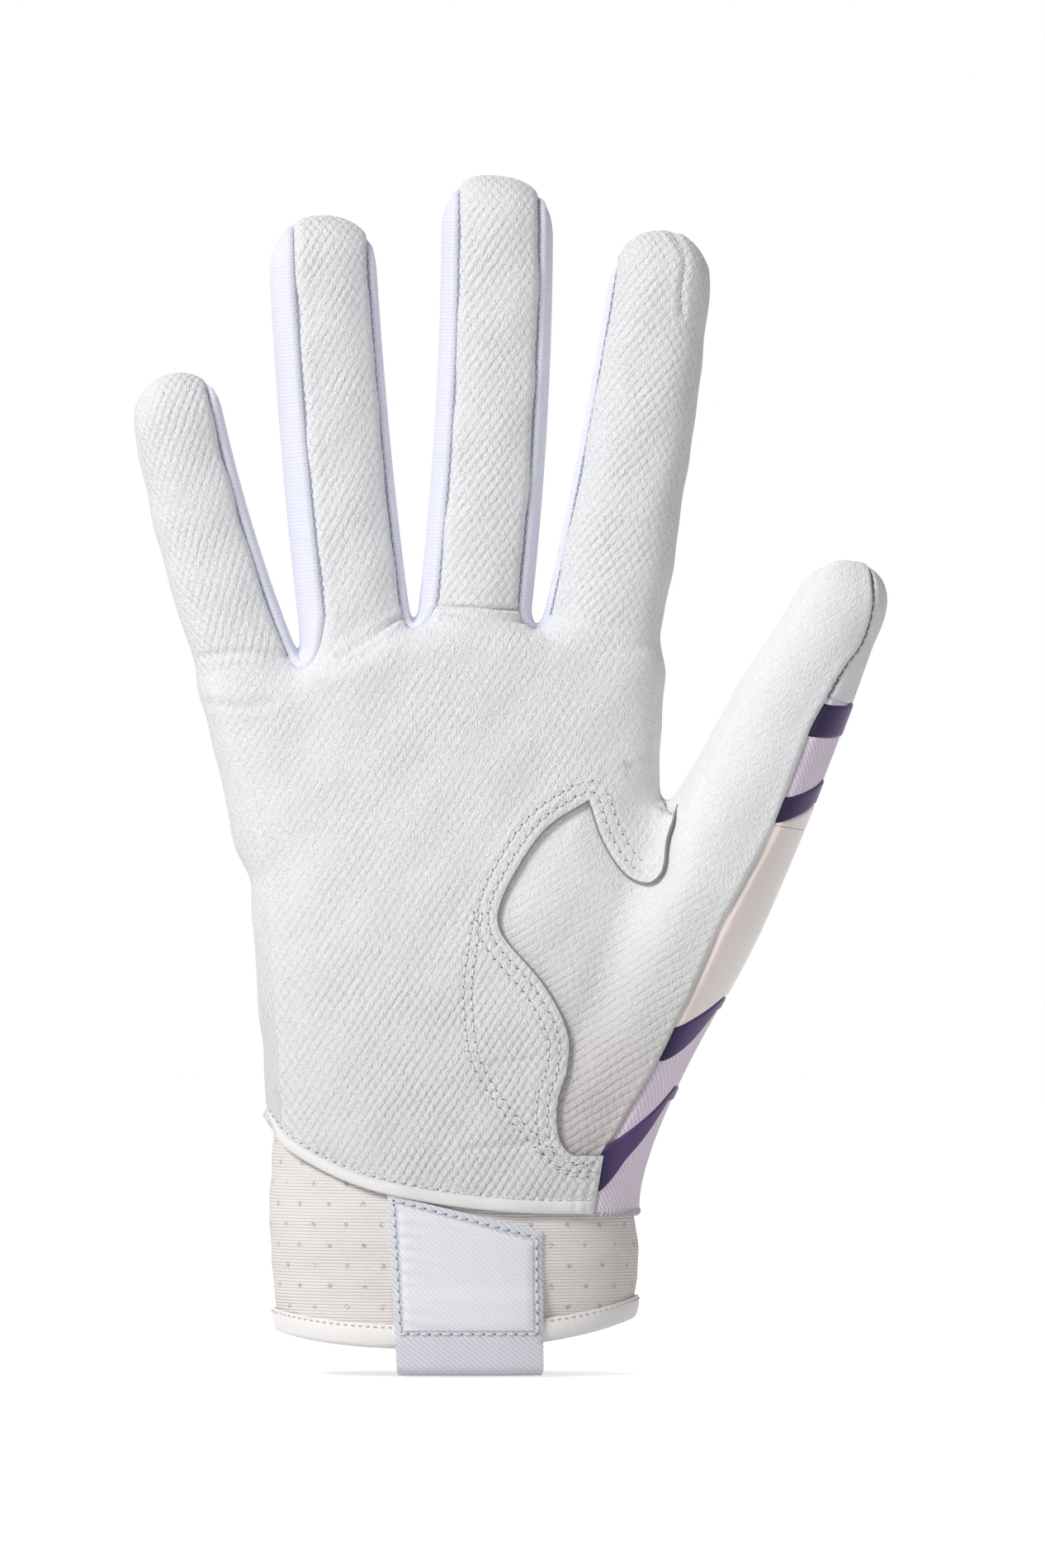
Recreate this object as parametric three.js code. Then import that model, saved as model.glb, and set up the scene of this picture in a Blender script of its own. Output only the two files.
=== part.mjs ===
// A right-hand batting glove, seen palm first, as the sewn panels it is cut from.
// The frame is in millimetres: +X to the thumb side, +Z to the fingertips, the palm faces -Y, and the
// origin is the middle of the cuff's mouth. Each panel is a patch between its seams, laid on one smooth
// form of the hand and given its own wall, so that neighbouring panels always share the same form.
import * as THREE from "three";

// Finishes
const WHITE_LEATHER = { color: 0xdcdedd, roughness: 0.72, metalness: 0 };
const WHITE_STRETCH = { color: 0xeeeefa, roughness: 0.8, metalness: 0 };
const LAVENDER = { color: 0xcdc3d3, roughness: 0.8, metalness: 0 };
const CREAM = { color: 0xe6dedb, roughness: 0.5, metalness: 0 };
const DARK_FILM = { color: 0x2c2540, roughness: 0.35, metalness: 0.2 };
const CUFF_KNIT = { color: 0xcfcac6, roughness: 0.9, metalness: 0 };
const BINDING = { color: 0xf4f1ee, roughness: 0.6, metalness: 0 };
const GREY_TAPE = { color: 0xb9bac2, roughness: 0.85, metalness: 0 };
const LABEL_WHITE = { color: 0xe3e2ec, roughness: 0.85, metalness: 0 };

// Walls and clearances
const LEATHER = 1.1;
const STRETCH = 0.9;
const KNIT = 1.4;
const TAPE = 0.9;
const FILM = 0.5;
const LINING = 0.8;
const SEAM_GAP = 0.4;
const LAYER_GAP = 0.3;
const BEND_GAP = 0.9;

// How softly the parts of the form run into each other
const CROTCH_ROUND = 1.6;
const KNUCKLE_ROUND = 6;
const THUMB_ROUND = 3.5;
const PALM_TOP_ROUND = 5;
const PALM_SQUARE = 2.5;
const DIGIT_SQUARE = 2.3;

// Fingers: the middle of the bending line, the length beyond it, the lean to the thumb side in degrees,
// the sideways bow, half widths and half depths at root and tip, the forward curl, the dome of the tip,
// and where the four lengthwise seams lie as a share of the half width (front and back, left and right)
const FINGER_MID_Y = 1;
const little = {
  rootX: -40.4, rootZ: 128.6, length: 58.9, lean: -15.2, bow: -1.4, rootHalf: 9.8, tipHalf: 8.7,
  rootDepth: 9, tipDepth: 7.8, curl: 5, dome: 9.5, frontLeft: -0.8, frontRight: 0.82, backLeft: -0.8,
  backRight: 0.82,
};
const ring = {
  rootX: -19.9, rootZ: 138.6, length: 78.3, lean: -4.3, bow: -1, rootHalf: 10.9, tipHalf: 10.4,
  rootDepth: 9.8, tipDepth: 8.6, curl: 6, dome: 11, frontLeft: -0.52, frontRight: 0.88, backLeft: -0.88,
  backRight: 0.66,
};
const middle = {
  rootX: 3.8, rootZ: 140, length: 84.5, lean: 2.9, bow: 1.3, rootHalf: 11, tipHalf: 10.9,
  rootDepth: 10.2, tipDepth: 8.8, curl: 6, dome: 12, frontLeft: -0.7, frontRight: 0.78, backLeft: -0.8,
  backRight: 0.74,
};
const index = {
  rootX: 28.8, rootZ: 137, length: 77.6, lean: 9, bow: 0.9, rootHalf: 11.5, tipHalf: 9.8,
  rootDepth: 10, tipDepth: 8.6, curl: 6, dome: 11.5, frontLeft: -0.94, frontRight: 0.8, backLeft: -0.8,
  backRight: 0.8,
};
const FINGERS = [little, ring, middle, index];

// Thumb: half width, half depth and middle depth are given along its length, down to its heel at the wrist
const THUMB_BEND_TILT = 16;
const THUMB_HALF = [[-78, 10.4], [-48, 11], [-22, 12.7], [0, 12.4], [14, 11.7], [28, 10.7], [55, 9.1]];
const THUMB_DEPTH = [[-78, 13], [-48, 15], [-22, 14.5], [0, 12.4], [28, 10.4], [55, 9.2]];
const THUMB_MID_Y = [[-78, -2], [-48, -4.5], [-22, -5.5], [0, -5], [28, -6.5], [55, -9]];
const THUMB_SEAM = [[0, 0.56], [19, 0.48], [32, 0.57], [43, 0.72]];
const THUMB_BEND_AT = -1;
const THUMB_HEEL = 78;
const thumb = {
  rootX: 55.6, rootZ: 99.5, length: 54.4, lean: 24.6, bow: 0, dome: 11.5, frontLeft: -0.8, backLeft: -0.8,
  backRight: 0.8, half: THUMB_HALF, depth: THUMB_DEPTH, midY: THUMB_MID_Y,
};

// Hand: sections from the cuff's mouth to the knuckles
const HAND_LEFT = [
  [0, -35.8], [12, -37.1], [30, -37], [44, -37], [60, -38.4], [80, -39.6], [97, -41.6], [113, -43.2],
  [130, -46.5],
];
const HAND_RIGHT = [
  [0, 35.6], [12, 36.4], [30, 35.8], [50, 38.5], [70, 46], [86, 48.5], [94, 45], [99, 41.6], [103, 39.2],
  [130, 38.8],
];
const HAND_DEPTH = [[0, 22.5], [30, 22], [60, 18.5], [80, 16.4], [100, 14.6], [130, 12]];
const HAND_MID_Y = -0.5;
const KNUCKLE_TOP = [[-50, 124.5], [-28.5, 127.5], [-8.7, 134.6], [14.2, 134.6], [40, 130]];
const CROTCHES = [[-28.6, 128.6], [-8.7, 136.6], [14.2, 136.4]];
const ULNAR_WRAP = 26;
const RADIAL_WRAP = 30;

// Seams on the front, as X and Z from the little-finger side to the thumb side or from wrist to fingers
const SEAM_FOOT = [26.9, 22.3];
const SEAM_STEP = [28.7, 33.4];
const NOTCH = [26, 102.6];
const HEM = [[-37, 40], [-32.7, 34.8], [-20, 28.2], [-5, 24.6], [11.6, 22.7], SEAM_FOOT];
const PALM_CUT = [
  SEAM_FOOT, SEAM_STEP, [22.6, 33.6], [20, 37], [19.8, 44], [21.6, 50], [21.8, 57], [17.1, 66.5],
  [9.1, 76.1], [8.2, 80.5], [11, 87.5], [17.6, 97], NOTCH,
];
const TONGUE = [NOTCH, [28.5, 95.2], [33, 88.2], [37.5, 86.4], [40, 88.5], [41.2, 96.5]];
const PATCH_OUTER = [[16.5, 36.5], [8, 45], [3.4, 54], [2.2, 66], [4.4, 78.1]];
const PATCH_INNER = [[19, 35.5], [18.5, 45], [19.5, 56], [14.5, 67], [6, 79]];
const SIDE_SEAM = [
  SEAM_FOOT, SEAM_STEP, [34.5, 43.2], [39.4, 51.3], [42.6, 57.7], [47.6, 68.5], [52.4, 79],
];
const SIDE_SPLIT = 79;
const BACK_HEM_LEFT = 40;
const BACK_VALLEY = [[24, 22.3], [28.5, 55], [36.5, 90]];
const THUMB_CROTCH = [41.6, 98.4];
const CROTCH_DEPTH = 5;
const RADIAL_EASE = 0.3;

// Dark bands and the smooth panel on the thumb side: those on the thumb lie along its axis, with a rise
// from the seam to the glove's edge, and those on the hand lie between heights at the seam and at the edge
const THUMB_BANDS = {
  thumb_band_upper: { from: 19.4, to: 26.4, rise: 2.6 },
  thumb_band_lower: { from: 1.4, to: 6.6, rise: 6.5 },
};
const THUMB_CAP_FROM = 27.4;
const HAND_BANDS = {
  wrist_band_upper: { seam: [51.5, 57.6], edge: [61.6, 64.2], rows: 2, finish: DARK_FILM },
  wrist_band_lower: { seam: [25.8, 34.2], edge: [43.9, 46.8], rows: 2, finish: DARK_FILM },
  thumb_overlay: { seam: [58.4, 94.6], edge: [65, 95], rows: 5, finish: CREAM },
};
const THUMB_BAND_ROWS = 2;
const EDGE_SHARE = 0.34;
const BAND_BACK = 0.25;
const EDGE_COLUMN = 2;
const BAND_COLUMNS = 6;
const WRIST_SEAM_TURN = 48;
const WRIST_VALLEY_TURN = 54;

// Cuff, its bound edge and the folded pull tab
const CUFF_FOOT = 0.6;
const CUFF_TILT = 2.4;
const CUFF_DROP = 1.6;
const CUFF_TUCK = 6;
const BINDING_TALL = 3.6;
const BINDING_WALL = 0.7;
const TAB_LEFT = -13.2;
const TAB_RIGHT = 17;
const TAB_TOP_LEFT = 24.6;
const TAB_TOP_RIGHT = 18.8;
const TAB_BEND = -3;
const TAB_FOOT = -9.2;
const TAB_LEAF_TOP = 12;
const LABEL_MARGIN = 2.6;
const LABEL_FOOT = -1.2;
const TAB_TAPER = 2;
const TAB_RAMP = 4;

// Small helpers
const lerp = THREE.MathUtils.lerp;
const clamp = THREE.MathUtils.clamp;
const rad = THREE.MathUtils.degToRad;
const power = (value, exponent) => Math.sign(value) * Math.abs(value) ** exponent;
const steps = (count) => Array.from({ length: count + 1 }, (unused, i) => i / count);

function smoothMin(a, b, round) {
  const h = Math.max(round - Math.abs(a - b), 0) / round;
  return Math.min(a, b) - (h * h * round) / 4;
}

// A smooth curve through a few stations, held level beyond the first and the last
function along(stations, at) {
  const last = stations.length - 1;
  if (at <= stations[0][0]) return stations[0][1];
  if (at >= stations[last][0]) return stations[last][1];
  const i = stations.findIndex((station, k) => k < last && at <= stations[k + 1][0]);
  const slope = (k) => {
    const a = stations[Math.max(k - 1, 0)];
    const b = stations[Math.min(k + 1, last)];
    return (b[1] - a[1]) / (b[0] - a[0]);
  };
  const [x0, y0] = stations[i];
  const [x1, y1] = stations[i + 1];
  const span = x1 - x0;
  const t = (at - x0) / span;
  const rise = (3 - 2 * t) * t * t;
  const lead = t * (1 - t) * (1 - t) * span * slope(i);
  return y0 + (y1 - y0) * rise + lead - t * t * (1 - t) * span * slope(i + 1);
}

// Points at even spacing along a polyline of X and Z
function spread(points, count) {
  const lengths = [0];
  for (let i = 1; i < points.length; i += 1) {
    const leg = Math.hypot(points[i][0] - points[i - 1][0], points[i][1] - points[i - 1][1]);
    lengths.push(lengths[i - 1] + leg);
  }
  const axis = (k) => points.map((point, i) => [lengths[i], point[k]]);
  const whole = lengths[lengths.length - 1];
  return steps(count).map((t) => [along(axis(0), t * whole), along(axis(1), t * whole)]);
}

// Sizes of a digit at a distance from its bending line
const halfWidth = (digit, s) => (digit.half ? along(digit.half, s)
  : lerp(digit.rootHalf, digit.tipHalf, clamp(s / digit.length, 0, 1)));
const halfDepth = (digit, s) => (digit.depth ? along(digit.depth, s)
  : lerp(digit.rootDepth, digit.tipDepth, clamp(s / digit.length, 0, 1)));
const midDepth = (digit, s) => (digit.midY ? along(digit.midY, s)
  : FINGER_MID_Y - digit.curl * clamp(s / digit.length, 0, 1) ** 2);
const bowAt = (digit, s) => {
  const u = clamp(s / digit.length, 0, 1);
  return 4 * digit.bow * u * (1 - u);
};
const domeStart = (digit) => digit.length - digit.dome;

function toWorld(digit, s, side, front) {
  const lean = rad(digit.lean);
  const across = side + bowAt(digit, s);
  const x = digit.rootX + s * Math.sin(lean) + across * Math.cos(lean);
  const z = digit.rootZ + s * Math.cos(lean) - across * Math.sin(lean);
  return new THREE.Vector3(x, midDepth(digit, s) - front, z);
}

// The form of the hand: each field is below zero inside, and rises by about 1 each millimetre outside
function digitField(digit, x, y, z) {
  const lean = rad(digit.lean);
  const dx = x - digit.rootX;
  const dz = z - digit.rootZ;
  const s = dx * Math.sin(lean) + dz * Math.cos(lean);
  const side = (dx * Math.cos(lean) - dz * Math.sin(lean) - bowAt(digit, s)) / halfWidth(digit, s);
  const front = (midDepth(digit, s) - y) / halfDepth(digit, s);
  const heel = digit.half ? -THUMB_HEEL : -digit.length / 2;
  const tip = (Math.max(s - domeStart(digit), 0) + Math.max(heel - s, 0)) / digit.dome;
  const n = DIGIT_SQUARE;
  const reach = (Math.abs(side) ** n + Math.abs(front) ** n + tip ** n) ** (1 / n);
  return (reach - 1) * Math.min(halfWidth(digit, s), halfDepth(digit, s));
}

function handSection(z) {
  const left = along(HAND_LEFT, z);
  const right = along(HAND_RIGHT, z);
  return { mid: (left + right) / 2, half: (right - left) / 2, depth: along(HAND_DEPTH, z) };
}

function handField(x, y, z) {
  const { mid, half, depth } = handSection(z);
  const n = PALM_SQUARE;
  const reach = (Math.abs((x - mid) / half) ** n + Math.abs((y - HAND_MID_Y) / depth) ** n) ** (1 / n);
  const top = z - along(KNUCKLE_TOP, x);
  return -smoothMin(-(reach - 1) * depth, -top, PALM_TOP_ROUND);
}

function formField(x, y, z) {
  const fingers = FINGERS.map((finger) => digitField(finger, x, y, z))
    .reduce((a, b) => smoothMin(a, b, CROTCH_ROUND));
  const hand = smoothMin(handField(x, y, z), digitField(thumb, x, y, z), THUMB_ROUND);
  return smoothMin(hand, fingers, KNUCKLE_ROUND);
}

function gradient(p) {
  const e = 0.02;
  return new THREE.Vector3(
    formField(p.x + e, p.y, p.z) - formField(p.x - e, p.y, p.z),
    formField(p.x, p.y + e, p.z) - formField(p.x, p.y - e, p.z),
    formField(p.x, p.y, p.z + e) - formField(p.x, p.y, p.z - e),
  ).divideScalar(2 * e);
}

// The nearest point of the form's surface and the way out from it
const SETTLE_TURNS = 12;
const SETTLE_STRIDE = 3;
const LEAST_SLOPE = 0.05;

function settle(start) {
  const p = start.clone();
  for (let turn = 0; turn < SETTLE_TURNS; turn += 1) {
    const slope = gradient(p);
    const step = formField(p.x, p.y, p.z) / Math.max(slope.lengthSq(), LEAST_SLOPE);
    p.addScaledVector(slope, -clamp(step, -SETTLE_STRIDE, SETTLE_STRIDE));
  }
  return { point: p, out: gradient(p).normalize() };
}

// The form's surface straight in front of (-1) or behind (+1) a place in the X-Z plane, reached from well
// outside by steps that are a share of the gap that is left
const LIFT_FROM = 60;
const LIFT_TURNS = 200;
const LIFT_SHARE = 0.6;
const LIFT_NEAR = 0.002;

function lift([x, z], way) {
  let y = LIFT_FROM * way;
  for (let turn = 0; turn < LIFT_TURNS && y * way > 0; turn += 1) {
    const gap = formField(x, y, z);
    if (gap < LIFT_NEAR) break;
    y -= way * Math.max(LIFT_SHARE * gap, 2 * LIFT_NEAR);
  }
  return new THREE.Vector3(x, y * way > 0 ? y : 0, z);
}

// Panels: grids of places, joined where their edges coincide, given a wall along the way out
const WELD = 0.005;

function panel(patches, outer, inner) {
  const places = [];
  const found = new Map();
  const indexOf = (p) => {
    const key = p.toArray().map((value) => Math.round(value / WELD)).join(" ");
    if (!found.has(key)) found.set(key, places.push(settle(p)) - 1);
    return found.get(key);
  };
  const faces = [];
  for (const rows of patches) {
    const grid = rows.map((row) => row.map(indexOf));
    const own = [];
    for (let i = 0; i + 1 < grid.length; i += 1) {
      for (let j = 0; j + 1 < grid[i].length; j += 1) {
        const [a, b, c, d] = [grid[i][j], grid[i][j + 1], grid[i + 1][j + 1], grid[i + 1][j]];
        own.push([a, b, c], [a, c, d]);
      }
    }
    const facing = own.reduce((sum, [a, b, c]) => {
      const [p, q, r] = [a, b, c].map((k) => places[k].point);
      const normal = q.clone().sub(p).cross(r.clone().sub(p));
      return sum + normal.dot(places[a].out);
    }, 0);
    faces.push(...(facing < 0 ? own.map(([a, b, c]) => [a, c, b]) : own));
  }
  return walled(places, faces.filter(([a, b, c]) => a !== b && b !== c && c !== a), outer, inner);
}

function walled(places, faces, outer, inner) {
  const count = places.length;
  const depth = (offset, p) => (typeof offset === "function" ? offset(p) : offset);
  const layer = (offset) => places.flatMap(({ point, out }) => (
    point.clone().addScaledVector(out, depth(offset, point)).toArray()));
  const edges = new Set(faces.flatMap(([a, b, c]) => [`${a} ${b}`, `${b} ${c}`, `${c} ${a}`]));
  const rim = [...edges].map((edge) => edge.split(" ").map(Number))
    .filter(([a, b]) => !edges.has(`${b} ${a}`));
  const triangles = [
    ...faces,
    ...faces.map(([a, b, c]) => [a + count, c + count, b + count]),
    ...rim.flatMap(([a, b]) => [[b, a, a + count], [b, a + count, b + count]]),
  ];
  const geometry = new THREE.BufferGeometry();
  geometry.setAttribute("position", new THREE.Float32BufferAttribute([...layer(outer), ...layer(inner)], 3));
  geometry.setIndex(triangles.flat());
  return geometry;
}

const glove = new THREE.Group();

function add(name, geometry, finish) {
  geometry.computeVertexNormals();
  const mesh = new THREE.Mesh(geometry, new THREE.MeshStandardMaterial(finish));
  mesh.name = name;
  glove.add(mesh);
}

// Rows along a digit: straight from its bending line to its dome, then over the dome to its top
const STRAIGHT_ROWS = 5;
const DOME_ROWS = 4;
const ACROSS_FRONT = 4;
const ACROSS_SIDE = 3;

const foot = (digit, side) => (digit === thumb ? THUMB_BEND_AT + side * Math.tan(rad(THUMB_BEND_TILT)) : 0);
const topAngle = (digit) => Math.PI / 2 - SEAM_GAP / 2 / digit.dome;
const rowsAlong = (digit, from) => [
  ...steps(STRAIGHT_ROWS).map((t) => ({ t, from, angle: 0 })),
  ...steps(DOME_ROWS).slice(1).map((t) => ({ t: 1, from, angle: t * topAngle(digit) })),
];
const room = (share) => (1 - Math.abs(share) ** DIGIT_SQUARE) ** (1 / DIGIT_SQUARE);

// A place on a digit at a share of its half width, on its front (+1) or its back (-1)
function slicePoint(digit, row, share, face) {
  const n = 2 / DIGIT_SQUARE;
  const whole = room(share);
  const rise = whole * Math.sin(row.angle) ** n;
  const side = share * halfWidth(digit, row.from);
  const s = lerp(row.from + foot(digit, side), domeStart(digit), row.t) + rise * digit.dome;
  const front = face * halfDepth(digit, s) * whole * Math.max(Math.cos(row.angle), 0) ** n;
  return toWorld(digit, s, share * halfWidth(digit, s), front);
}

// A place on a digit's side, from its front seam (0) round to its back seam (1)
function sidePoint(digit, row, frontShare, backShare, v) {
  const n = DIGIT_SQUARE;
  const hand = Math.sign(frontShare);
  const riseOf = (share) => room(share) * Math.sin(row.angle) ** (2 / n);
  const rise = lerp(riseOf(frontShare), riseOf(backShare), v);
  const spanOf = (share) => {
    const whole = (1 - riseOf(share) ** n) ** (1 / n);
    return Math.acos(Math.min((Math.abs(share) / whole) ** (n / 2), 1));
  };
  const whole = (1 - rise ** n) ** (1 / n);
  const turn = lerp(spanOf(frontShare), -spanOf(backShare), v);
  const share = hand * whole * Math.cos(turn) ** (2 / n);
  const side = share * halfWidth(digit, row.from);
  const start = row.square ? row.from : row.from + foot(digit, side);
  const s = lerp(start, domeStart(digit), row.t) + rise * digit.dome;
  const front = halfDepth(digit, s) * whole * power(Math.sin(turn), 2 / n);
  return toWorld(digit, s, share * halfWidth(digit, s), front);
}

const inset = (digit) => SEAM_GAP / 2 / halfWidth(digit, digit.length / 2);

function facePatch(digit, rows, left, right, face) {
  return rows.map((row) => (
    steps(ACROSS_FRONT).map((t) => slicePoint(digit, row, lerp(left, right, t), face))));
}

function sidePatch(digit, rows, frontShare, backShare) {
  return rows.map((row) => steps(ACROSS_SIDE).map((v) => sidePoint(digit, row, frontShare, backShare, v)));
}

// Fingers: a leather front, a stretch back, and stretch sides that face the next finger
function buildFinger(name, finger, leftSide, rightSide) {
  const rows = rowsAlong(finger, BEND_GAP / 2);
  const d = inset(finger);
  const { frontLeft, frontRight, backLeft, backRight } = finger;
  const front = [facePatch(finger, rows, leftSide ? frontLeft + d : frontLeft,
    rightSide ? frontRight - d : frontRight, 1)];
  if (!leftSide) front.push(sidePatch(finger, rows, frontLeft, backLeft - d));
  if (!rightSide) front.push(sidePatch(finger, rows, frontRight, backRight + d));
  add(`${name}_front`, panel(front, 0, -LEATHER), WHITE_LEATHER);
  const back = facePatch(finger, rows, backLeft + d, backRight - d, -1);
  add(`${name}_back`, panel([back], 0, -STRETCH), WHITE_STRETCH);
  if (leftSide) {
    const side = sidePatch(finger, rows, frontLeft - d, backLeft - d);
    add(leftSide, panel([side], 0, -STRETCH), WHITE_STRETCH);
  }
  if (rightSide) {
    const side = sidePatch(finger, rows, frontRight + d, backRight + d);
    add(rightSide, panel([side], 0, -STRETCH), WHITE_STRETCH);
  }
}

buildFinger("little", little, null, "little_side");
buildFinger("ring", ring, "ring_side_little", "ring_side_middle");
buildFinger("middle", middle, "middle_side_ring", "middle_side_index");
buildFinger("index", index, "index_side", null);

// Thumb: a leather front that wraps its inner side, a stretch back with bands, and a leather cap
const thumbRows = rowsAlong(thumb, BEND_GAP / 2);
const thumbInset = inset(thumb);
const seamShare = (t) => along(THUMB_SEAM, t * domeStart(thumb));
const CAP_SHARE = THUMB_CAP_FROM / domeStart(thumb);
const CAP_GAP = SEAM_GAP / domeStart(thumb);
const BACK_ROWS = 3;
const CAP_ROWS = 2;

function thumbBackRows(rows) {
  const side = rows.map((row) => steps(ACROSS_SIDE).map((v) => (
    sidePoint(thumb, row, seamShare(row.t) + 2 * thumbInset, thumb.backRight, v))));
  const back = facePatch(thumb, rows, thumb.backLeft + thumbInset, thumb.backRight, -1);
  return [side, back];
}

function buildThumb() {
  const front = thumbRows.map((row) => steps(ACROSS_FRONT).map((t) => (
    slicePoint(thumb, row, lerp(thumb.frontLeft, seamShare(row.t), t), 1))));
  const inner = sidePatch(thumb, thumbRows, thumb.frontLeft, thumb.backLeft - thumbInset);
  add("thumb_front", panel([front, inner], 0, -LEATHER), WHITE_LEATHER);
  const lower = steps(BACK_ROWS).map((t) => ({ t: t * CAP_SHARE, from: BEND_GAP / 2, angle: 0 }));
  add("thumb_back", panel(thumbBackRows(lower), 0, -STRETCH), LAVENDER);
  const upper = [
    ...steps(CAP_ROWS).map((t) => ({ t: lerp(CAP_SHARE + CAP_GAP, 1, t), from: BEND_GAP / 2, angle: 0 })),
    ...thumbRows.slice(STRAIGHT_ROWS + 1),
  ];
  add("thumb_cap", panel(thumbBackRows(upper), 0, -LEATHER), WHITE_LEATHER);
  for (const [name, band] of Object.entries(THUMB_BANDS)) {
    const rows = steps(THUMB_BAND_ROWS).map((t) => steps(BAND_COLUMNS).map((v) => {
      const s = lerp(band.from, band.to, t) + band.rise * Math.min(v / EDGE_SHARE, 1);
      const share = seamShare(s / domeStart(thumb)) + 3 * thumbInset;
      return sidePoint(thumb, { from: s, t: 0, angle: 0, square: true }, share, BAND_BACK, v);
    }));
    add(name, panel([rows], LAYER_GAP + FILM, LAYER_GAP), DARK_FILM);
  }
}

buildThumb();

// Hand: grids between four edges, with places given on the form's own surface
const PALM_UPPER_ROWS = 4;
const FINGER_COLUMNS = 3;
const INDEX_COLUMNS = 2;
const WRAP_COLUMNS = 4;
const bendRow = { from: -BEND_GAP / 2, t: 0, angle: 0 };
const onLine = (a, b, t) => a.clone().lerp(b, t);
const settled = (p) => settle(p).point;

// A grid between a bottom, a top, a left and a right edge (bottom and top run left to right)
function between(bottom, top, left, right) {
  const columns = bottom.length - 1;
  const rows = left.length - 1;
  return left.map((leftEnd, i) => bottom.map((bottomEnd, j) => {
    if (i === 0) return bottomEnd;
    if (i === rows) return top[j];
    if (j === 0) return leftEnd;
    if (j === columns) return right[i];
    const u = j / columns;
    const t = i / rows;
    const ruled = onLine(bottomEnd, top[j], t);
    const leftPull = leftEnd.clone().sub(onLine(bottom[0], top[0], t)).multiplyScalar(1 - u);
    const rightPull = right[i].clone().sub(onLine(bottom[columns], top[columns], t)).multiplyScalar(u);
    return ruled.add(leftPull).add(rightPull);
  }));
}

// A step back from an edge towards the grid's inside
function stepIn(edge, inside) {
  const way = inside.clone().sub(edge);
  return edge.clone().addScaledVector(way, Math.min(SEAM_GAP / Math.max(way.length(), SEAM_GAP), 0.5));
}

function trim(grid, sides) {
  const last = grid.length - 1;
  const end = grid[0].length - 1;
  const rows = grid.map((row) => row.map((p) => p.clone()));
  if (sides.bottom) rows[0] = rows[0].map((p, j) => stepIn(p, rows[1][j]));
  if (sides.top) rows[last] = rows[last].map((p, j) => stepIn(p, rows[last - 1][j]));
  for (const row of rows) {
    if (sides.left) row[0] = stepIn(row[0], row[1]);
    if (sides.right) row[end] = stepIn(row[end], row[end - 1]);
  }
  return rows;
}

// A place round the hand's own section: 0 is the thumb side, 90 the palm, 180 the little-finger side
function roundHand(degrees, z) {
  const { mid, half, depth } = handSection(z);
  const n = 2 / PALM_SQUARE;
  const x = mid + half * power(Math.cos(rad(degrees)), n);
  return settled(new THREE.Vector3(x, HAND_MID_Y - depth * power(Math.sin(rad(degrees)), n), z));
}

// The hollow between two fingers, from the left one's bending line to the right one's, at a share of the
// way from the front seam to the back seam
function crotchRow(k, v) {
  const [left, right] = [FINGERS[k], FINGERS[k + 1]];
  const [x, z] = CROTCHES[k];
  const start = sidePoint(left, bendRow, left.frontRight, left.backRight, v);
  const end = sidePoint(right, bendRow, right.frontLeft, right.backLeft, v);
  const low = new THREE.Vector3(x, (start.y + end.y) / 2, z);
  return [start, onLine(start, low, 0.5), low, onLine(low, end, 0.5), end].map(settled);
}

// The line of crotches and bending lines on the front (+1) or the back (-1), from little finger to index
function knuckleLine(face, indexEnd) {
  return FINGERS.flatMap((finger, k) => {
    const left = face > 0 ? finger.frontLeft : finger.backLeft;
    const right = face > 0 ? finger.frontRight : finger.backRight;
    const isIndex = finger === index;
    const bend = steps(isIndex ? INDEX_COLUMNS : FINGER_COLUMNS)
      .map((t) => settled(slicePoint(finger, bendRow, lerp(left, isIndex ? indexEnd : right, t), face)));
    return isIndex ? bend : [...bend, ...crotchRow(k, face > 0 ? 0 : 1).slice(1, -1)];
  });
}

// Heights of the hem on the palm and on the back, at a place across the hand
const hemHeight = (x) => along(HEM, x);
const backHemHeight = (x) => {
  const [left, right] = [HEM[0][0], BACK_VALLEY[0][0]];
  return lerp(BACK_HEM_LEFT, BACK_VALLEY[0][1], clamp((x - left) / (right - left), 0, 1));
};

const INDEX_SPLIT = 0;
const palmCut = PALM_CUT.map((place) => lift(place, -1));
const notch = palmCut[palmCut.length - 1];
const indexSplit = settled(slicePoint(index, bendRow, INDEX_SPLIT, 1));
const notchLine = steps(PALM_UPPER_ROWS).map((t) => {
  const p = onLine(notch, indexSplit, t);
  return t === 0 ? notch : (t === 1 ? indexSplit : lift([p.x, p.z], -1));
});
const thumbCrotch = (v) => {
  const [x, z] = THUMB_CROTCH;
  return settled(new THREE.Vector3(x, lerp(-CROTCH_DEPTH, CROTCH_DEPTH, v) - CROTCH_DEPTH / 2, z));
};
const radialLine = (v) => {
  const top = settled(sidePoint(index, bendRow, index.frontRight, index.backRight, v));
  const foot = thumbCrotch(v);
  return steps(PALM_UPPER_ROWS).map((t) => {
    if (t === 0) return foot;
    if (t === 1) return top;
    const turn = lerp(RADIAL_WRAP, -RADIAL_WRAP, v);
    return onLine(roundHand(turn, lerp(foot.z, top.z, t)), onLine(foot, top, t), RADIAL_EASE);
  });
};
const ulnarLine = (v, rows) => {
  const top = settled(sidePoint(little, bendRow, little.frontLeft, little.backLeft, v));
  const turn = lerp(180 - ULNAR_WRAP, 180 + ULNAR_WRAP, v);
  const { x } = roundHand(turn, BACK_HEM_LEFT);
  const foot = turn <= 180 ? hemHeight(x) : backHemHeight(x);
  return steps(rows).map((t) => (t === 1 ? top : roundHand(turn, lerp(foot, top.z, t))));
};

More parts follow.
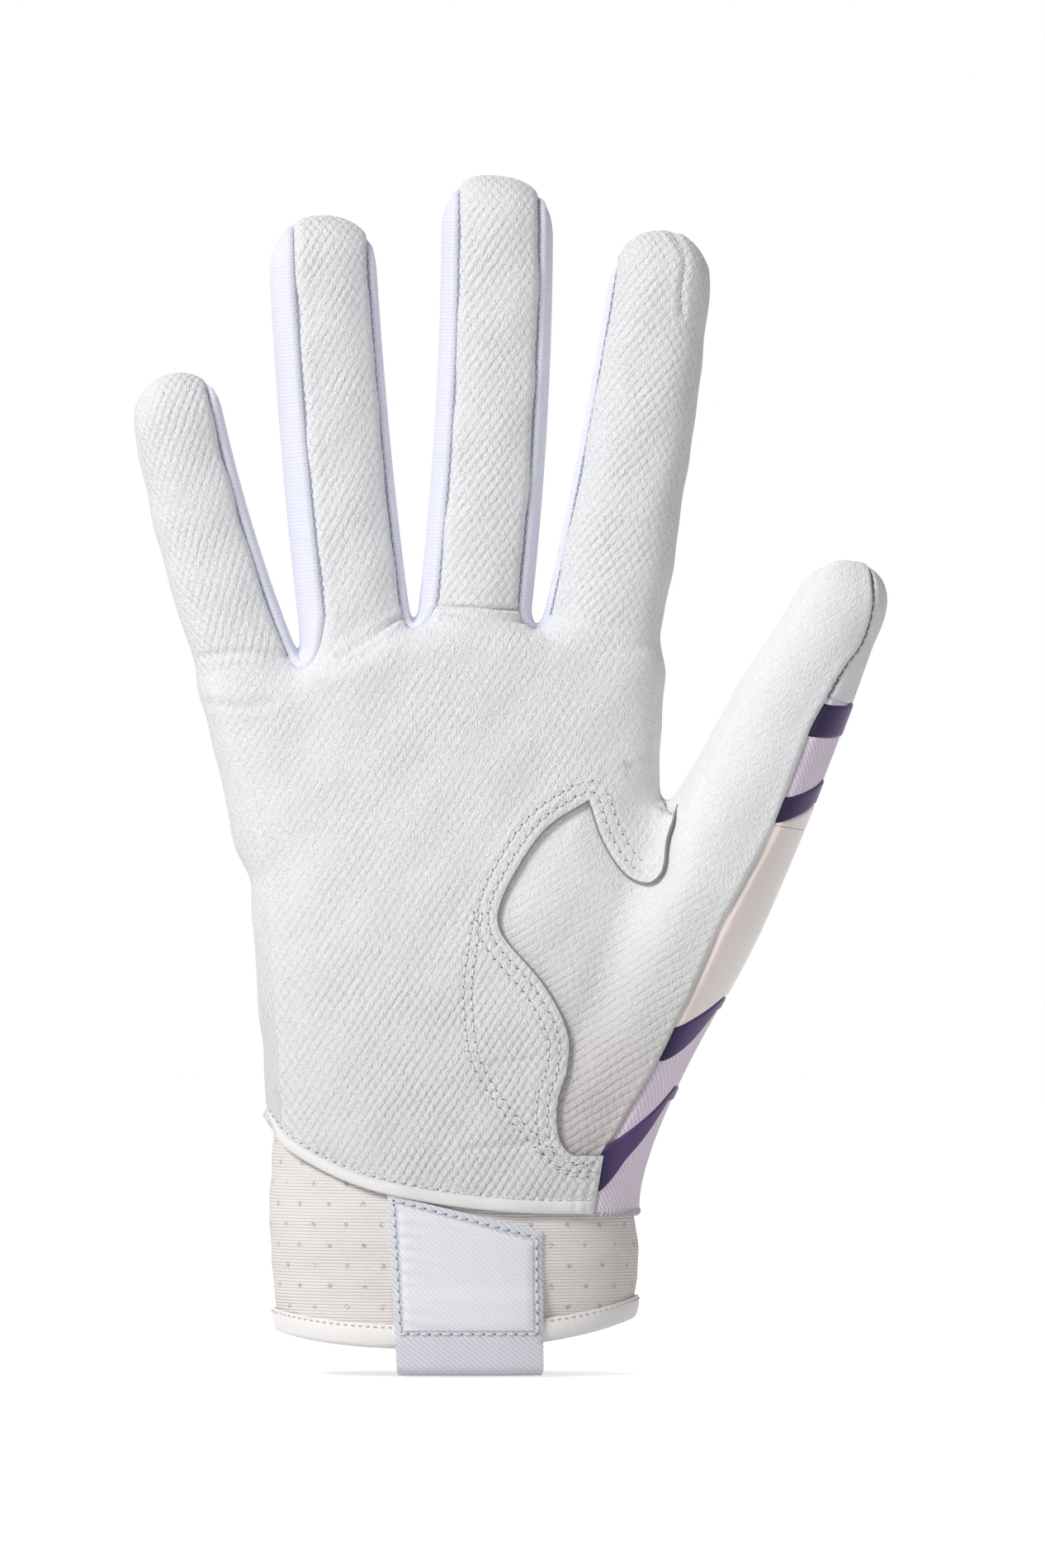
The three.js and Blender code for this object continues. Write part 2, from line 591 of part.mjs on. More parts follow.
function buildPalm() {
  const top = knuckleLine(1, INDEX_SPLIT);
  const right = [...palmCut, ...notchLine.slice(1)];
  const left = ulnarLine(0, right.length - 1);
  const bottom = top.map((place, j) => {
    if (j === 0) return left[0];
    if (j === top.length - 1) return right[0];
    const x = lerp(left[0].x, right[0].x, j / (top.length - 1));
    return lift([x, hemHeight(x)], -1);
  });
  const wrap = steps(WRAP_COLUMNS).map((v) => ulnarLine(v, right.length - 1));
  const tongue = TONGUE.map((place, k) => (k === 0 ? notch : lift(place, -1)));
  tongue.push(thumbCrotch(0));
  const tongueTop = steps(tongue.length - 1).map((t, k) => (k === 0 ? indexSplit
    : settled(slicePoint(index, bendRow, lerp(INDEX_SPLIT, index.frontRight, t), 1))));
  const edge = steps(WRAP_COLUMNS).map((v) => radialLine(v));
  tongueTop[tongueTop.length - 1] = edge[0][PALM_UPPER_ROWS];
  const patches = [
    between(bottom, top, left, right),
    wrap,
    between(tongue, tongueTop, notchLine, edge[0]),
    edge,
  ];
  add("palm_panel", panel(patches, 0, -LEATHER), WHITE_LEATHER);
}

buildPalm();

// Side seam of the thumb, from the hem to the thumb's bending line
const sideSeamEnd = settled(slicePoint(thumb, bendRow, seamShare(0), 1));
const splitAt = SIDE_SEAM.findIndex(([, z]) => z >= SIDE_SPLIT);
const LOWER_ROWS = PALM_CUT.length - 3;
const UPPER_ROWS = 2;
const upperSeam = [...SIDE_SEAM.slice(splitAt), [sideSeamEnd.x, sideSeamEnd.z]];
const sideSeam = [
  lift(SIDE_SEAM[0], -1),
  ...spread(SIDE_SEAM.slice(1, splitAt + 1), LOWER_ROWS).map((place) => lift(place, -1)),
  ...spread(upperSeam, UPPER_ROWS).slice(1, -1).map((place) => lift(place, -1)),
  sideSeamEnd,
];

// A line beside a polyline of X and Z, at a distance to its right
const SHARPEST_MITRE = 0.3;

function beside(points, distance) {
  const normal = (k) => {
    const [a, b] = [points[k], points[k + 1]];
    const leg = Math.hypot(b[0] - a[0], b[1] - a[1]);
    return [(b[1] - a[1]) / leg, -(b[0] - a[0]) / leg];
  };
  return points.map(([x, z], k) => {
    const before = normal(Math.max(k - 1, 0));
    const after = normal(Math.min(k, points.length - 2));
    const share = distance / Math.max(1 + before[0] * after[0] + before[1] * after[1], SHARPEST_MITRE);
    return [x + (before[0] + after[0]) * share, z + (before[1] + after[1]) * share];
  });
}

function buildThumbPanel() {
  const acrossSlot = 3;
  const rise = PALM_CUT.length - 2;
  const tip = rise + TONGUE.length - 3;
  const cut = beside([...PALM_CUT.slice(2), ...TONGUE.slice(1)], SEAM_GAP).map((place) => lift(place, -1));
  const right = sideSeam.slice(1, LOWER_ROWS + 2);
  const left = cut.slice(0, rise);
  const slotFoot = steps(acrossSlot).map((t) => onLine(cut[tip], right[right.length - 1], t));
  const lowerTop = [...cut.slice(rise - 1, tip), ...slotFoot];
  const bottom = lowerTop.map((place, j) => onLine(left[0], right[0], j / (lowerTop.length - 1)));
  const bend = steps(acrossSlot).map((t) => (
    settled(slicePoint(thumb, bendRow, lerp(thumb.frontLeft, seamShare(0), t), 1))));
  const lower = trim(between(bottom, lowerTop, left, right), { bottom: true });
  const slot = between(slotFoot, bend, [...cut.slice(tip), bend[0]], sideSeam.slice(LOWER_ROWS + 1));
  const saddle = steps(WRAP_COLUMNS).map((v) => {
    const rim = settled(sidePoint(thumb, bendRow, thumb.frontLeft, thumb.backLeft, v));
    return v === 0 ? [cut[cut.length - 1], bend[0]] : [stepIn(thumbCrotch(v), rim), rim];
  });
  add("thumb_panel", panel([lower, slot, saddle], 0, -LEATHER), WHITE_LEATHER);
}

buildThumbPanel();

// Back of the hand, with the thumb's base, from the little-finger seam round to the thumb's side seam
const valley = [
  ...spread([...BACK_VALLEY, THUMB_CROTCH], sideSeam.length - 1).slice(0, -1).map((place) => lift(place, 1)),
  thumbCrotch(1),
];
const BEHIND_COLUMNS = 4;
const THUMB_SIDE_COLUMNS = 4;

function thumbBase() {
  const side = steps(THUMB_SIDE_COLUMNS).map((v) => (
    settled(sidePoint(thumb, bendRow, seamShare(0), thumb.backRight, v))));
  const behind = steps(BEHIND_COLUMNS).slice(1).map((t) => (
    settled(slicePoint(thumb, bendRow, lerp(thumb.backRight, thumb.backLeft, t), -1))));
  const top = [...side, ...behind, thumbCrotch(1)];
  const [first, last] = [sideSeam[0], valley[0]];
  const bottom = top.map((place, j) => {
    const turn = lerp(WRIST_SEAM_TURN, -WRIST_VALLEY_TURN, j / (top.length - 1));
    return j === 0 ? first : (j === top.length - 1 ? last : roundHand(turn, first.z));
  });
  const grid = trim(between(bottom, top, sideSeam, valley), { left: true });
  const [end, under] = [grid[grid.length - 1], grid[grid.length - 2]];
  end[top.length - 1] = stepIn(end[top.length - 1], under[top.length - 1]);
  return grid.map((row) => row.map(settled));
}

function backOfHand(edge) {
  const top = knuckleLine(-1, index.backRight);
  const radial = radialLine(1).slice(1);
  const right = [...edge, ...radial];
  const left = ulnarLine(1, right.length - 1);
  const bottom = top.map((place, j) => {
    if (j === 0) return left[0];
    if (j === top.length - 1) return right[0];
    const x = lerp(left[0].x, right[0].x, j / (top.length - 1));
    return lift([x, backHemHeight(x)], 1);
  });
  const grid = trim(between(bottom, top, left, right), { left: true });
  grid.slice(edge.length).forEach((row) => {
    row[row.length - 1] = stepIn(row[row.length - 1], row[row.length - 2]);
  });
  return grid;
}

const base = thumbBase();
const baseEdge = base.map((row) => row[row.length - 1]);
add("back_panel", panel([backOfHand(baseEdge), base], 0, -STRETCH), LAVENDER);

// A place on the thumb's base at a column of its grid and a height
function atHeight(column, z) {
  const line = base.map((row) => row[column]);
  const k = clamp(line.findIndex((p) => p.z > z), 1, line.length - 1);
  return onLine(line[k - 1], line[k], clamp((z - line[k - 1].z) / (line[k].z - line[k - 1].z), 0, 1));
}

for (const [name, { seam, edge, rows, finish }] of Object.entries(HAND_BANDS)) {
  const grid = steps(rows).map((t) => steps(BAND_COLUMNS).map((unused, j) => {
    const share = Math.min(j / EDGE_COLUMN, 1);
    return atHeight(j, lerp(lerp(seam[0], edge[0], share), lerp(seam[1], edge[1], share), t));
  }));
  add(name, panel([trim(grid, { left: true })], LAYER_GAP + FILM, LAYER_GAP), finish);
}

// Stretch webs in the hollows between the fingers
const WEB_NAMES = ["web_little_ring", "web_ring_middle", "web_middle_index"];
WEB_NAMES.forEach((name, k) => {
  const { rootDepth } = FINGERS[k];
  const clear = SEAM_GAP / rootDepth;
  const grid = steps(ACROSS_SIDE).map((v) => crotchRow(k, lerp(clear, 1 - clear, v)));
  add(name, panel([grid], 0, -STRETCH), WHITE_STRETCH);
});

// Lining patch that is stitched inside the palm beside the thumb's cut edge
const PATCH_COLUMNS = 3;
const PATCH_ROWS = 7;
const across = ([x0, z0], [x1, z1]) => (
  steps(PATCH_COLUMNS).map((t) => lift([lerp(x0, x1, t), lerp(z0, z1, t)], -1)));
const patchGrid = between(
  across(PATCH_OUTER[0], PATCH_INNER[0]),
  across(PATCH_OUTER.at(-1), PATCH_INNER.at(-1)),
  spread(PATCH_OUTER, PATCH_ROWS).map((place) => lift(place, -1)),
  spread(PATCH_INNER, PATCH_ROWS).map((place) => lift(place, -1)),
);
add("palm_lining", panel([patchGrid], -LEATHER - LAYER_GAP, -LEATHER - LAYER_GAP - LINING), CREAM);

// Knit cuff, tucked under the hem all round
const CUFF_OUT = -LEATHER - LAYER_GAP;
const CUFF_IN = CUFF_OUT - KNIT;
const CUFF_COLUMNS = 32;
const CUFF_ROWS = 3;

// The mouth's rim, a little higher on the thumb side and lower at the middle of the palm and the back
const rimHeight = (degrees) => CUFF_FOOT + (CUFF_TILT / 2) * Math.cos(rad(degrees))
  - CUFF_DROP * Math.sin(rad(degrees)) ** 2;

function cuffTop(degrees) {
  const { x } = roundHand(degrees, CUFF_FOOT);
  return CUFF_TUCK + (Math.sin(rad(degrees)) >= 0 ? hemHeight(x) : backHemHeight(x));
}

const cuffGrid = steps(CUFF_ROWS).map((t) => steps(CUFF_COLUMNS).map((turn) => (
  roundHand(turn * 360, lerp(rimHeight(turn * 360), cuffTop(turn * 360), t)))));
add("cuff", panel([cuffGrid], CUFF_OUT, CUFF_IN), CUFF_KNIT);

// Solids carried along a row of sections, each a closed ring of places
function loft(sections, isRing) {
  const points = sections.flat();
  const size = sections[0].length;
  const triangles = [];
  const last = isRing ? sections.length : sections.length - 1;
  for (let i = 0; i < last; i += 1) {
    for (let j = 0; j < size; j += 1) {
      const next = ((i + 1) % sections.length) * size;
      const [a, b] = [i * size + j, i * size + ((j + 1) % size)];
      const [c, d] = [next + ((j + 1) % size), next + j];
      triangles.push([a, b, c], [a, c, d]);
    }
  }
  if (!isRing) {
    const flat = sections[0].map((p) => new THREE.Vector2(p.y, p.z));
    const end = (sections.length - 1) * size;
    for (const [a, b, c] of THREE.ShapeUtils.triangulateShape(flat, [])) {
      const corner = flat[b].clone().sub(flat[a]).cross(flat[c].clone().sub(flat[a]));
      const turn = corner * THREE.ShapeUtils.area(flat);
      triangles.push(turn > 0 ? [a, c, b] : [a, b, c]);
      triangles.push(turn > 0 ? [a + end, b + end, c + end] : [a + end, c + end, b + end]);
    }
  }
  const volume = triangles.reduce((sum, [a, b, c]) => (
    sum + points[a].dot(points[b].clone().cross(points[c]))), 0);
  const facing = volume < 0 ? triangles.map(([a, b, c]) => [a, c, b]) : triangles;
  const geometry = new THREE.BufferGeometry();
  geometry.setAttribute("position", new THREE.Float32BufferAttribute(points.flatMap((p) => p.toArray()), 3));
  geometry.setIndex(facing.flat());
  return geometry;
}

// A ring of places from heights and offsets, at one place round the wrist
function wristSection(place, profile) {
  return profile.map(([z, offset]) => {
    const { point, out } = settle(place(z));
    return point.addScaledVector(out, offset);
  });
}

// Bound edge: one strip folded over the cuff's foot
const BOUND_OUT = CUFF_OUT + LAYER_GAP + BINDING_WALL;
const BOUND_IN = CUFF_IN - LAYER_GAP - BINDING_WALL;
const boundProfile = (rim) => {
  const foot = rim - LAYER_GAP - BINDING_WALL;
  const top = foot + BINDING_TALL;
  return [
    [top, BOUND_OUT], [foot + BINDING_WALL, BOUND_OUT], [foot, BOUND_OUT - BINDING_WALL],
    [foot, BOUND_IN + BINDING_WALL], [foot + BINDING_WALL, BOUND_IN], [top, BOUND_IN],
    [top, BOUND_IN + BINDING_WALL], [rim - LAYER_GAP, BOUND_IN + BINDING_WALL],
    [rim - LAYER_GAP, BOUND_OUT - BINDING_WALL], [top, BOUND_OUT - BINDING_WALL],
  ];
};
const boundSections = steps(CUFF_COLUMNS).slice(1).map((turn) => (
  wristSection((z) => roundHand(turn * 360, z), boundProfile(rimHeight(turn * 360)))));
add("cuff_binding", loft(boundSections, true), BINDING);

// Pull tab: a tape sewn on the cuff's front, folded round below the mouth, with its end sewn inside
const TAB_COLUMNS = 5;
const TAB_ROWS = 5;
const TAB_OVER = BOUND_OUT + LAYER_GAP;
const TAB_UNDER = BOUND_IN - LAYER_GAP;
const BOUND_TOP = CUFF_FOOT + CUFF_TILT / 2 + BINDING_TALL - BINDING_WALL;
const overBinding = (z) => THREE.MathUtils.smoothstep(z, BOUND_TOP, BOUND_TOP + TAB_RAMP);
const tabSeat = (p) => lerp(TAB_OVER, CUFF_OUT + LAYER_GAP, overBinding(p.z));
const leafSeat = (p) => lerp(TAB_UNDER, CUFF_IN - LAYER_GAP, overBinding(p.z));
const tabLeft = (z) => TAB_LEFT + TAB_TAPER * clamp((TAB_TOP_LEFT - z) / (TAB_TOP_LEFT - TAB_FOOT), 0, 1);
const tabTop = (u) => lerp(TAB_TOP_LEFT, TAB_TOP_RIGHT, u);
const tabPlace = (u, z, margin) => lift([lerp(tabLeft(z) + margin, TAB_RIGHT - margin, u), z], -1);

const tabGrid = steps(TAB_ROWS).map((t) => steps(TAB_COLUMNS).map((u) => (
  tabPlace(u, lerp(TAB_BEND + BEND_GAP / 2, tabTop(u), t), 0))));
add("pull_tab_front", panel([tabGrid], (p) => tabSeat(p) + TAPE, tabSeat), GREY_TAPE);

const labelSeat = (p) => tabSeat(p) + TAPE + LAYER_GAP;
const labelGrid = steps(TAB_ROWS).map((t) => steps(TAB_COLUMNS).map((u) => (
  tabPlace(u, lerp(LABEL_FOOT, tabTop(u) - LABEL_MARGIN, t), LABEL_MARGIN))));
add("pull_tab_label", panel([labelGrid], (p) => labelSeat(p) + FILM, labelSeat), LABEL_WHITE);

const leafGrid = steps(TAB_ROWS).map((t) => steps(TAB_COLUMNS).map((u) => (
  tabPlace(u, lerp(TAB_BEND + BEND_GAP / 2, TAB_LEAF_TOP, t), 0))));
add("pull_tab_leaf", panel([leafGrid], leafSeat, (p) => leafSeat(p) - TAPE), GREY_TAPE);

const LOOP_TOP = TAB_BEND - BEND_GAP / 2;
const LOOP_MID = (TAB_OVER + TAB_UNDER) / 2;
const loopProfile = [
  [LOOP_TOP, TAB_OVER + TAPE], [TAB_FOOT + 2 * TAPE, TAB_OVER + TAPE], [TAB_FOOT + TAPE / 2, LOOP_MID + TAPE],
  [TAB_FOOT, LOOP_MID], [TAB_FOOT + TAPE / 2, LOOP_MID - TAPE], [TAB_FOOT + 2 * TAPE, TAB_UNDER - TAPE],
  [LOOP_TOP, TAB_UNDER - TAPE], [LOOP_TOP, TAB_UNDER], [TAB_FOOT + 2 * TAPE, TAB_UNDER],
  [TAB_FOOT + TAPE, LOOP_MID], [TAB_FOOT + 2 * TAPE, TAB_OVER], [LOOP_TOP, TAB_OVER],
];
const loopSections = steps(TAB_COLUMNS).map((u) => wristSection((z) => tabPlace(u, z, 0), loopProfile));
add("pull_tab_loop", loft(loopSections, false), GREY_TAPE);

export default glove;
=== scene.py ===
"""A right-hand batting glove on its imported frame: sewn leather, stretch, knit, film and tape.

Places are worked out in millimetres on one smooth form of the hand, the form that the frame's panels lie on, and
become metres when a mesh is made. Each panel is a grid between its seams, settled on that form, raised or dipped
along the form's way out, and closed with a wall of its own.
"""

import logging
import math
from dataclasses import dataclass
from enum import Enum

import bpy
import numpy as np
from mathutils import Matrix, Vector


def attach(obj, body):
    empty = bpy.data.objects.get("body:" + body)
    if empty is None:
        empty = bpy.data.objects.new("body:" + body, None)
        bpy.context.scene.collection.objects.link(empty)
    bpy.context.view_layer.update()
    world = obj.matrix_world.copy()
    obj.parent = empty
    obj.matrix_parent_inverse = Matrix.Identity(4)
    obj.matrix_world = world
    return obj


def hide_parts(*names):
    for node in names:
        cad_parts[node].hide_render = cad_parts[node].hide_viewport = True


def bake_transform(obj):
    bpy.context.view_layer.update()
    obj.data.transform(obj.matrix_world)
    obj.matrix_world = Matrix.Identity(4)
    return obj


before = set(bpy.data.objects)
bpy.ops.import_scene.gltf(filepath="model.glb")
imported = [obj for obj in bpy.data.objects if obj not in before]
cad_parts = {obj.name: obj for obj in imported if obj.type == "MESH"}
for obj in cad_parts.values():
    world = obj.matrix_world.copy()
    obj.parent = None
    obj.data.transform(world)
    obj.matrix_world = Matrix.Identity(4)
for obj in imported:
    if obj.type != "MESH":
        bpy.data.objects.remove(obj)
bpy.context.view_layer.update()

Array = np.ndarray
Place = tuple[float, float]
LOG = logging.getLogger("glove")
MM = 0.001


class Side(Enum):
    """The four sides of a grid, whose rows run up and whose columns run across."""

    LEFT = "left"
    RIGHT = "right"
    BOTTOM = "bottom"
    TOP = "top"


class Face(Enum):
    """Which way a face of the hand looks: the palm's way or the back's."""

    FRONT = 1
    BACK = -1


def shares(count: int) -> Array:
    """Even shares from 0 to 1."""
    return np.linspace(0, 1, count)


def mix(a: Array, b: Array, t: Array) -> Array:
    """The value at a share t of the way from a to b."""
    return a + (b - a) * t


def smooth(t: Array) -> Array:
    """A soft step from 0 to 1 while t runs from 0 to 1."""
    t = np.clip(t, 0, 1)
    return t * t * (3 - 2 * t)


def hump(distance: Array, at: float, width: float) -> Array:
    """A round hump of height 1 at a distance, as wide as a bell curve of that width."""
    return np.exp(-(((distance - at) / width) ** 2))


def smooth_min(a: Array, b: Array, radius: float) -> Array:
    """The lesser of two fields, rounded where they meet."""
    h = np.maximum(radius - np.abs(a - b), 0) / radius
    return np.minimum(a, b) - h * h * radius / 4


def power(value: Array, exponent: float) -> Array:
    """A power that keeps the sign of its base."""
    return np.sign(value) * np.abs(value) ** exponent


def unit(vectors: Array) -> Array:
    """Vectors of length 1 along the last axis."""
    return vectors / np.maximum(np.linalg.norm(vectors, axis=-1, keepdims=True), 1e-9)


def run(points: Array, axis: int) -> Array:
    """Distance along one axis of a grid, from its first row or column."""
    steps = np.linalg.norm(np.diff(points, axis=axis), axis=-1)
    return np.insert(np.cumsum(steps, axis=axis), 0, 0, axis=axis)


def from_sides(points: Array, *sides: Side) -> Array:
    """Distance over a grid to the nearest of some of its sides.

    Args:
        points: Places, rows by columns by 3.
        sides: The sides to measure from.

    Returns:
        The distance of every place, rows by columns.
    """
    across, up = run(points, 1), run(points, 0)
    reach = {
        Side.LEFT: across, Side.RIGHT: across[:, -1:] - across,
        Side.BOTTOM: up, Side.TOP: up[-1:] - up,
    }
    return np.minimum.reduce([reach[side] for side in sides])


def gap_to(points: Array, line: Array) -> Array:
    """Distance from places to the nearest leg of a polyline with as many axes.

    Args:
        points: Places, any grid by the number of axes.
        line: Corners of the polyline, count by the number of axes.

    Returns:
        The distance of every place.
    """
    best = np.full(points.shape[:-1], np.inf)
    for a, b in zip(line[:-1], line[1:]):
        leg = b - a
        t = np.clip(((points - a) @ leg) / max(leg @ leg, 1e-9), 0, 1)
        best = np.minimum(best, np.linalg.norm(points - a - t[..., None] * leg, axis=-1))
    return best


def inside(points: Array, ring: Array) -> Array:
    """Whether places in a plane lie inside a closed polygon, by the even-odd rule."""
    found = np.zeros(points.shape[:-1], bool)
    x, z = points[..., 0], points[..., 1]
    for (ax, az), (bx, bz) in zip(ring, np.roll(ring, -1, axis=0)):
        if az != bz:
            found ^= ((az > z) != (bz > z)) & (x < ax + (bx - ax) * (z - az) / (bz - az))
    return found


def coons(bottom: Array, top: Array, left: Array, right: Array) -> Array:
    """A grid between four edges: the ruled sheet between bottom and top, pulled to the left and right edges.

    The ends of the left and right edges are its corners.

    Args:
        bottom: Places from left to right, columns by 3.
        top: Places from left to right, columns by 3.
        left: Places from bottom to top, rows by 3.
        right: Places from bottom to top, rows by 3.

    Returns:
        Places, rows by columns by 3.
    """
    bottom = np.concatenate([left[:1], bottom[1:-1], right[:1]])
    top = np.concatenate([left[-1:], top[1:-1], right[-1:]])
    u = shares(len(bottom))[None, :, None]
    t = shares(len(left))[:, None, None]
    ruled = mix(bottom[None], top[None], t)
    pull_left = left[:, None] - mix(bottom[0], top[0], t)
    pull_right = right[:, None] - mix(bottom[-1], top[-1], t)
    return ruled + pull_left * (1 - u) + pull_right * u


@dataclass(frozen=True)
class Course:
    """A smooth value along a line, through (place, value) stations and level beyond its ends."""

    stations: tuple[Place, ...]

    def at(self, place: Array) -> Array:
        """The cubic through the stations, each with the slope between its two neighbours.

        Args:
            place: Places along the line.

        Returns:
            The value at each place.
        """
        x, y = np.array(self.stations, float).T
        k = np.arange(x.size)
        low, high = np.maximum(k - 1, 0), np.minimum(k + 1, x.size - 1)
        slope = (y[high] - y[low]) / (x[high] - x[low])
        q = np.clip(place, x[0], x[-1])
        i = np.clip(np.searchsorted(x, q) - 1, 0, x.size - 2)
        span = x[i + 1] - x[i]
        t = (q - x[i]) / span
        lead = t * (1 - t) ** 2 * span * slope[i] - t * t * (1 - t) * span * slope[i + 1]
        return y[i] + (y[i + 1] - y[i]) * (3 - 2 * t) * t * t + lead


@dataclass(frozen=True)
class Line:
    """A smooth line in the X-Z plane through a few places."""

    places: tuple[Place, ...]

    def at(self, t: Array) -> Array:
        """Places at shares of the line's length, count by 2."""
        points = np.array(self.places, float)
        reach = run(points, 0)
        axes = [Course(tuple(zip(reach, points[:, k]))).at(t * reach[-1]) for k in range(2)]
        return np.stack(axes, -1)


DIGIT_SQUARE = 2.3
PALM_SQUARE = 2.5


@dataclass(frozen=True)
class Digit:
    """A finger or the thumb: a rounded tube along a leaning axis with a domed tip.

    Shares run across it, from -1 at its left edge to 1 at its right edge, and s runs along it from its bending line.
    """

    body: str
    root: Place
    length: float
    lean: float
    half: Course
    depth: Course
    middle: Course
    dome: float
    heel: float
    front: Place
    back: Place
    bow: float = 0.0
    curl: float = 0.0
    tip: float = 0.0
    bend_at: float = 0.0
    bend_tilt: float = 0.0

    @classmethod
    def finger(cls, body: str, root: Place, length: float, lean: float, bow: float, half: Place, depth: Place,
               curl: float, dome: float, front: Place, back: Place, tip: float = 0.0) -> "Digit":
        """A finger with straight sides from its root to its tip.

        Args:
            body: The body that carries it.
            root: X and Z of the middle of its bending line.
            length: Reach beyond the bending line.
            lean: Lean to the thumb side in degrees.
            bow: Sideways bow at its middle.
            half: Half widths at root and tip.
            depth: Half depths at root and tip.
            curl: How far its tip comes forward.
            dome: Length of the domed tip.
            front: Shares of its left and right seams on the front.
            back: Shares of its left and right seams on the back.
            tip: How far its tip turns to the thumb side.

        Returns:
            The finger.
        """
        ends = (0, length)
        return cls(body, root, length, lean, Course(tuple(zip(ends, half))), Course(tuple(zip(ends, depth))),
                   Course(((0, 1), (length, 1))), dome, length / 2, front, back, bow, curl, tip)

    @property
    def straight(self) -> float:
        """Length of the tube before its dome."""
        return self.length - self.dome

    def sideways(self, s: Array) -> Array:
        """How far the axis is bowed, and turned at its tip, at a distance along it."""
        u = np.clip(s / self.length, 0, 1)
        return 4 * self.bow * u * (1 - u) + self.tip * u ** 3

    def forward(self, s: Array) -> Array:
        """Y of the axis at a distance along it."""
        return self.middle.at(s) - self.curl * np.clip(s / self.length, 0, 1) ** 2

    def local(self, p: Array) -> tuple[Array, Array]:
        """Distance along the axis, and across it before the bow, of places."""
        lean = math.radians(self.lean)
        dx, dz = p[..., 0] - self.root[0], p[..., 2] - self.root[1]
        return dx * math.sin(lean) + dz * math.cos(lean), dx * math.cos(lean) - dz * math.sin(lean)

    def cloth(self, p: Array) -> Array:
        """Cloth coordinates of places, across and along the axis."""
        s, side = self.local(p)
        return np.stack([side, s], -1)

    def place(self, s: Array, side: Array, front: Array) -> Array:
        """A place at a distance along, beside and in front of the axis."""
        lean = math.radians(self.lean)
        across = side + self.sideways(s)
        x = self.root[0] + s * math.sin(lean) + across * math.cos(lean)
        z = self.root[1] + s * math.cos(lean) - across * math.sin(lean)
        return np.stack(np.broadcast_arrays(x, self.forward(s) - front, z), -1)

    def field(self, p: Array) -> Array:
        """Below zero inside the tube, and about the distance from it outside."""
        s, side = self.local(p)
        half, depth = self.half.at(s), self.depth.at(s)
        side = (side - self.sideways(s)) / half
        front = (self.forward(s) - p[..., 1]) / depth
        tip = (np.maximum(s - self.straight, 0) + np.maximum(-self.heel - s, 0)) / self.dome
        n = DIGIT_SQUARE
        reach = (np.abs(side) ** n + np.abs(front) ** n + tip ** n) ** (1 / n)
        return (reach - 1) * np.minimum(half, depth)

    def foot(self, share: Array) -> Array:
        """Where the bending line crosses the axis's direction at a share of the half width."""
        return self.bend_at + share * self.half.at(np.zeros(1)) * math.tan(math.radians(self.bend_tilt))

    def face_place(self, t: Array, angle: Array, share: Array, face: Face) -> Array:
        """A place on the front or back: t runs up the tube, then the angle runs over the dome.

        Args:
            t: Share of the tube's length.
            angle: Angle over the dome, from 0 at its foot to a right angle at its top.
            share: Share of the half width.
            face: Which face.

        Returns:
            Places of the broadcast shape by 3.
        """
        n = 2 / DIGIT_SQUARE
        whole = (1 - np.abs(share) ** DIGIT_SQUARE) ** (1 / DIGIT_SQUARE)
        rise = whole * np.sin(angle) ** n
        s = mix(self.foot(share), self.straight, t) + rise * self.dome
        front = face.value * self.depth.at(s) * whole * np.maximum(np.cos(angle), 0) ** n
        return self.place(s, share * self.half.at(s), front)

    def side_place(self, t: Array, angle: Array, front: Array, back: Array, v: Array,
                   s: Array | None = None) -> Array:
        """A place on a side: v runs round from the front seam at 0 to the back seam at 1.

        Args:
            t: Share of the tube's length.
            angle: Angle over the dome.
            front: Share of the front seam.
            back: Share of the back seam.
            v: Share of the way round.
            s: Distance along the axis, in place of t.

        Returns:
            Places of the broadcast shape by 3.
        """
        n = DIGIT_SQUARE

        def rise_of(share: Array) -> Array:
            """How far a seam's share has climbed on the dome."""
            return (1 - np.abs(share) ** n) ** (1 / n) * np.sin(angle) ** (2 / n)

        def span_of(share: Array) -> Array:
            """The turn from the middle of the side to a seam's share."""
            whole = (1 - rise_of(share) ** n) ** (1 / n)
            return np.arccos(np.minimum((np.abs(share) / whole) ** (n / 2), 1))

        rise = mix(rise_of(front), rise_of(back), np.clip(v, 0, 1))
        whole = (1 - rise ** n) ** (1 / n)
        turn = mix(span_of(front), -span_of(back), v)
        share = np.sign(front) * whole * np.maximum(np.cos(turn), 0) ** (2 / n)
        s = mix(self.foot(share), self.straight, t) + rise * self.dome if s is None else s
        return self.place(s, share * self.half.at(s), self.depth.at(s) * whole * power(np.sin(turn), 2 / n))

    def rows(self, straight: int, dome: int) -> tuple[Array, Array]:
        """Columns of t and angle for rows up the tube and over its dome."""
        over = shares(dome + 1)[1:] * math.pi / 2
        t = np.concatenate([shares(straight), np.ones(dome)])
        return t[:, None], np.concatenate([np.zeros(straight), over])[:, None]


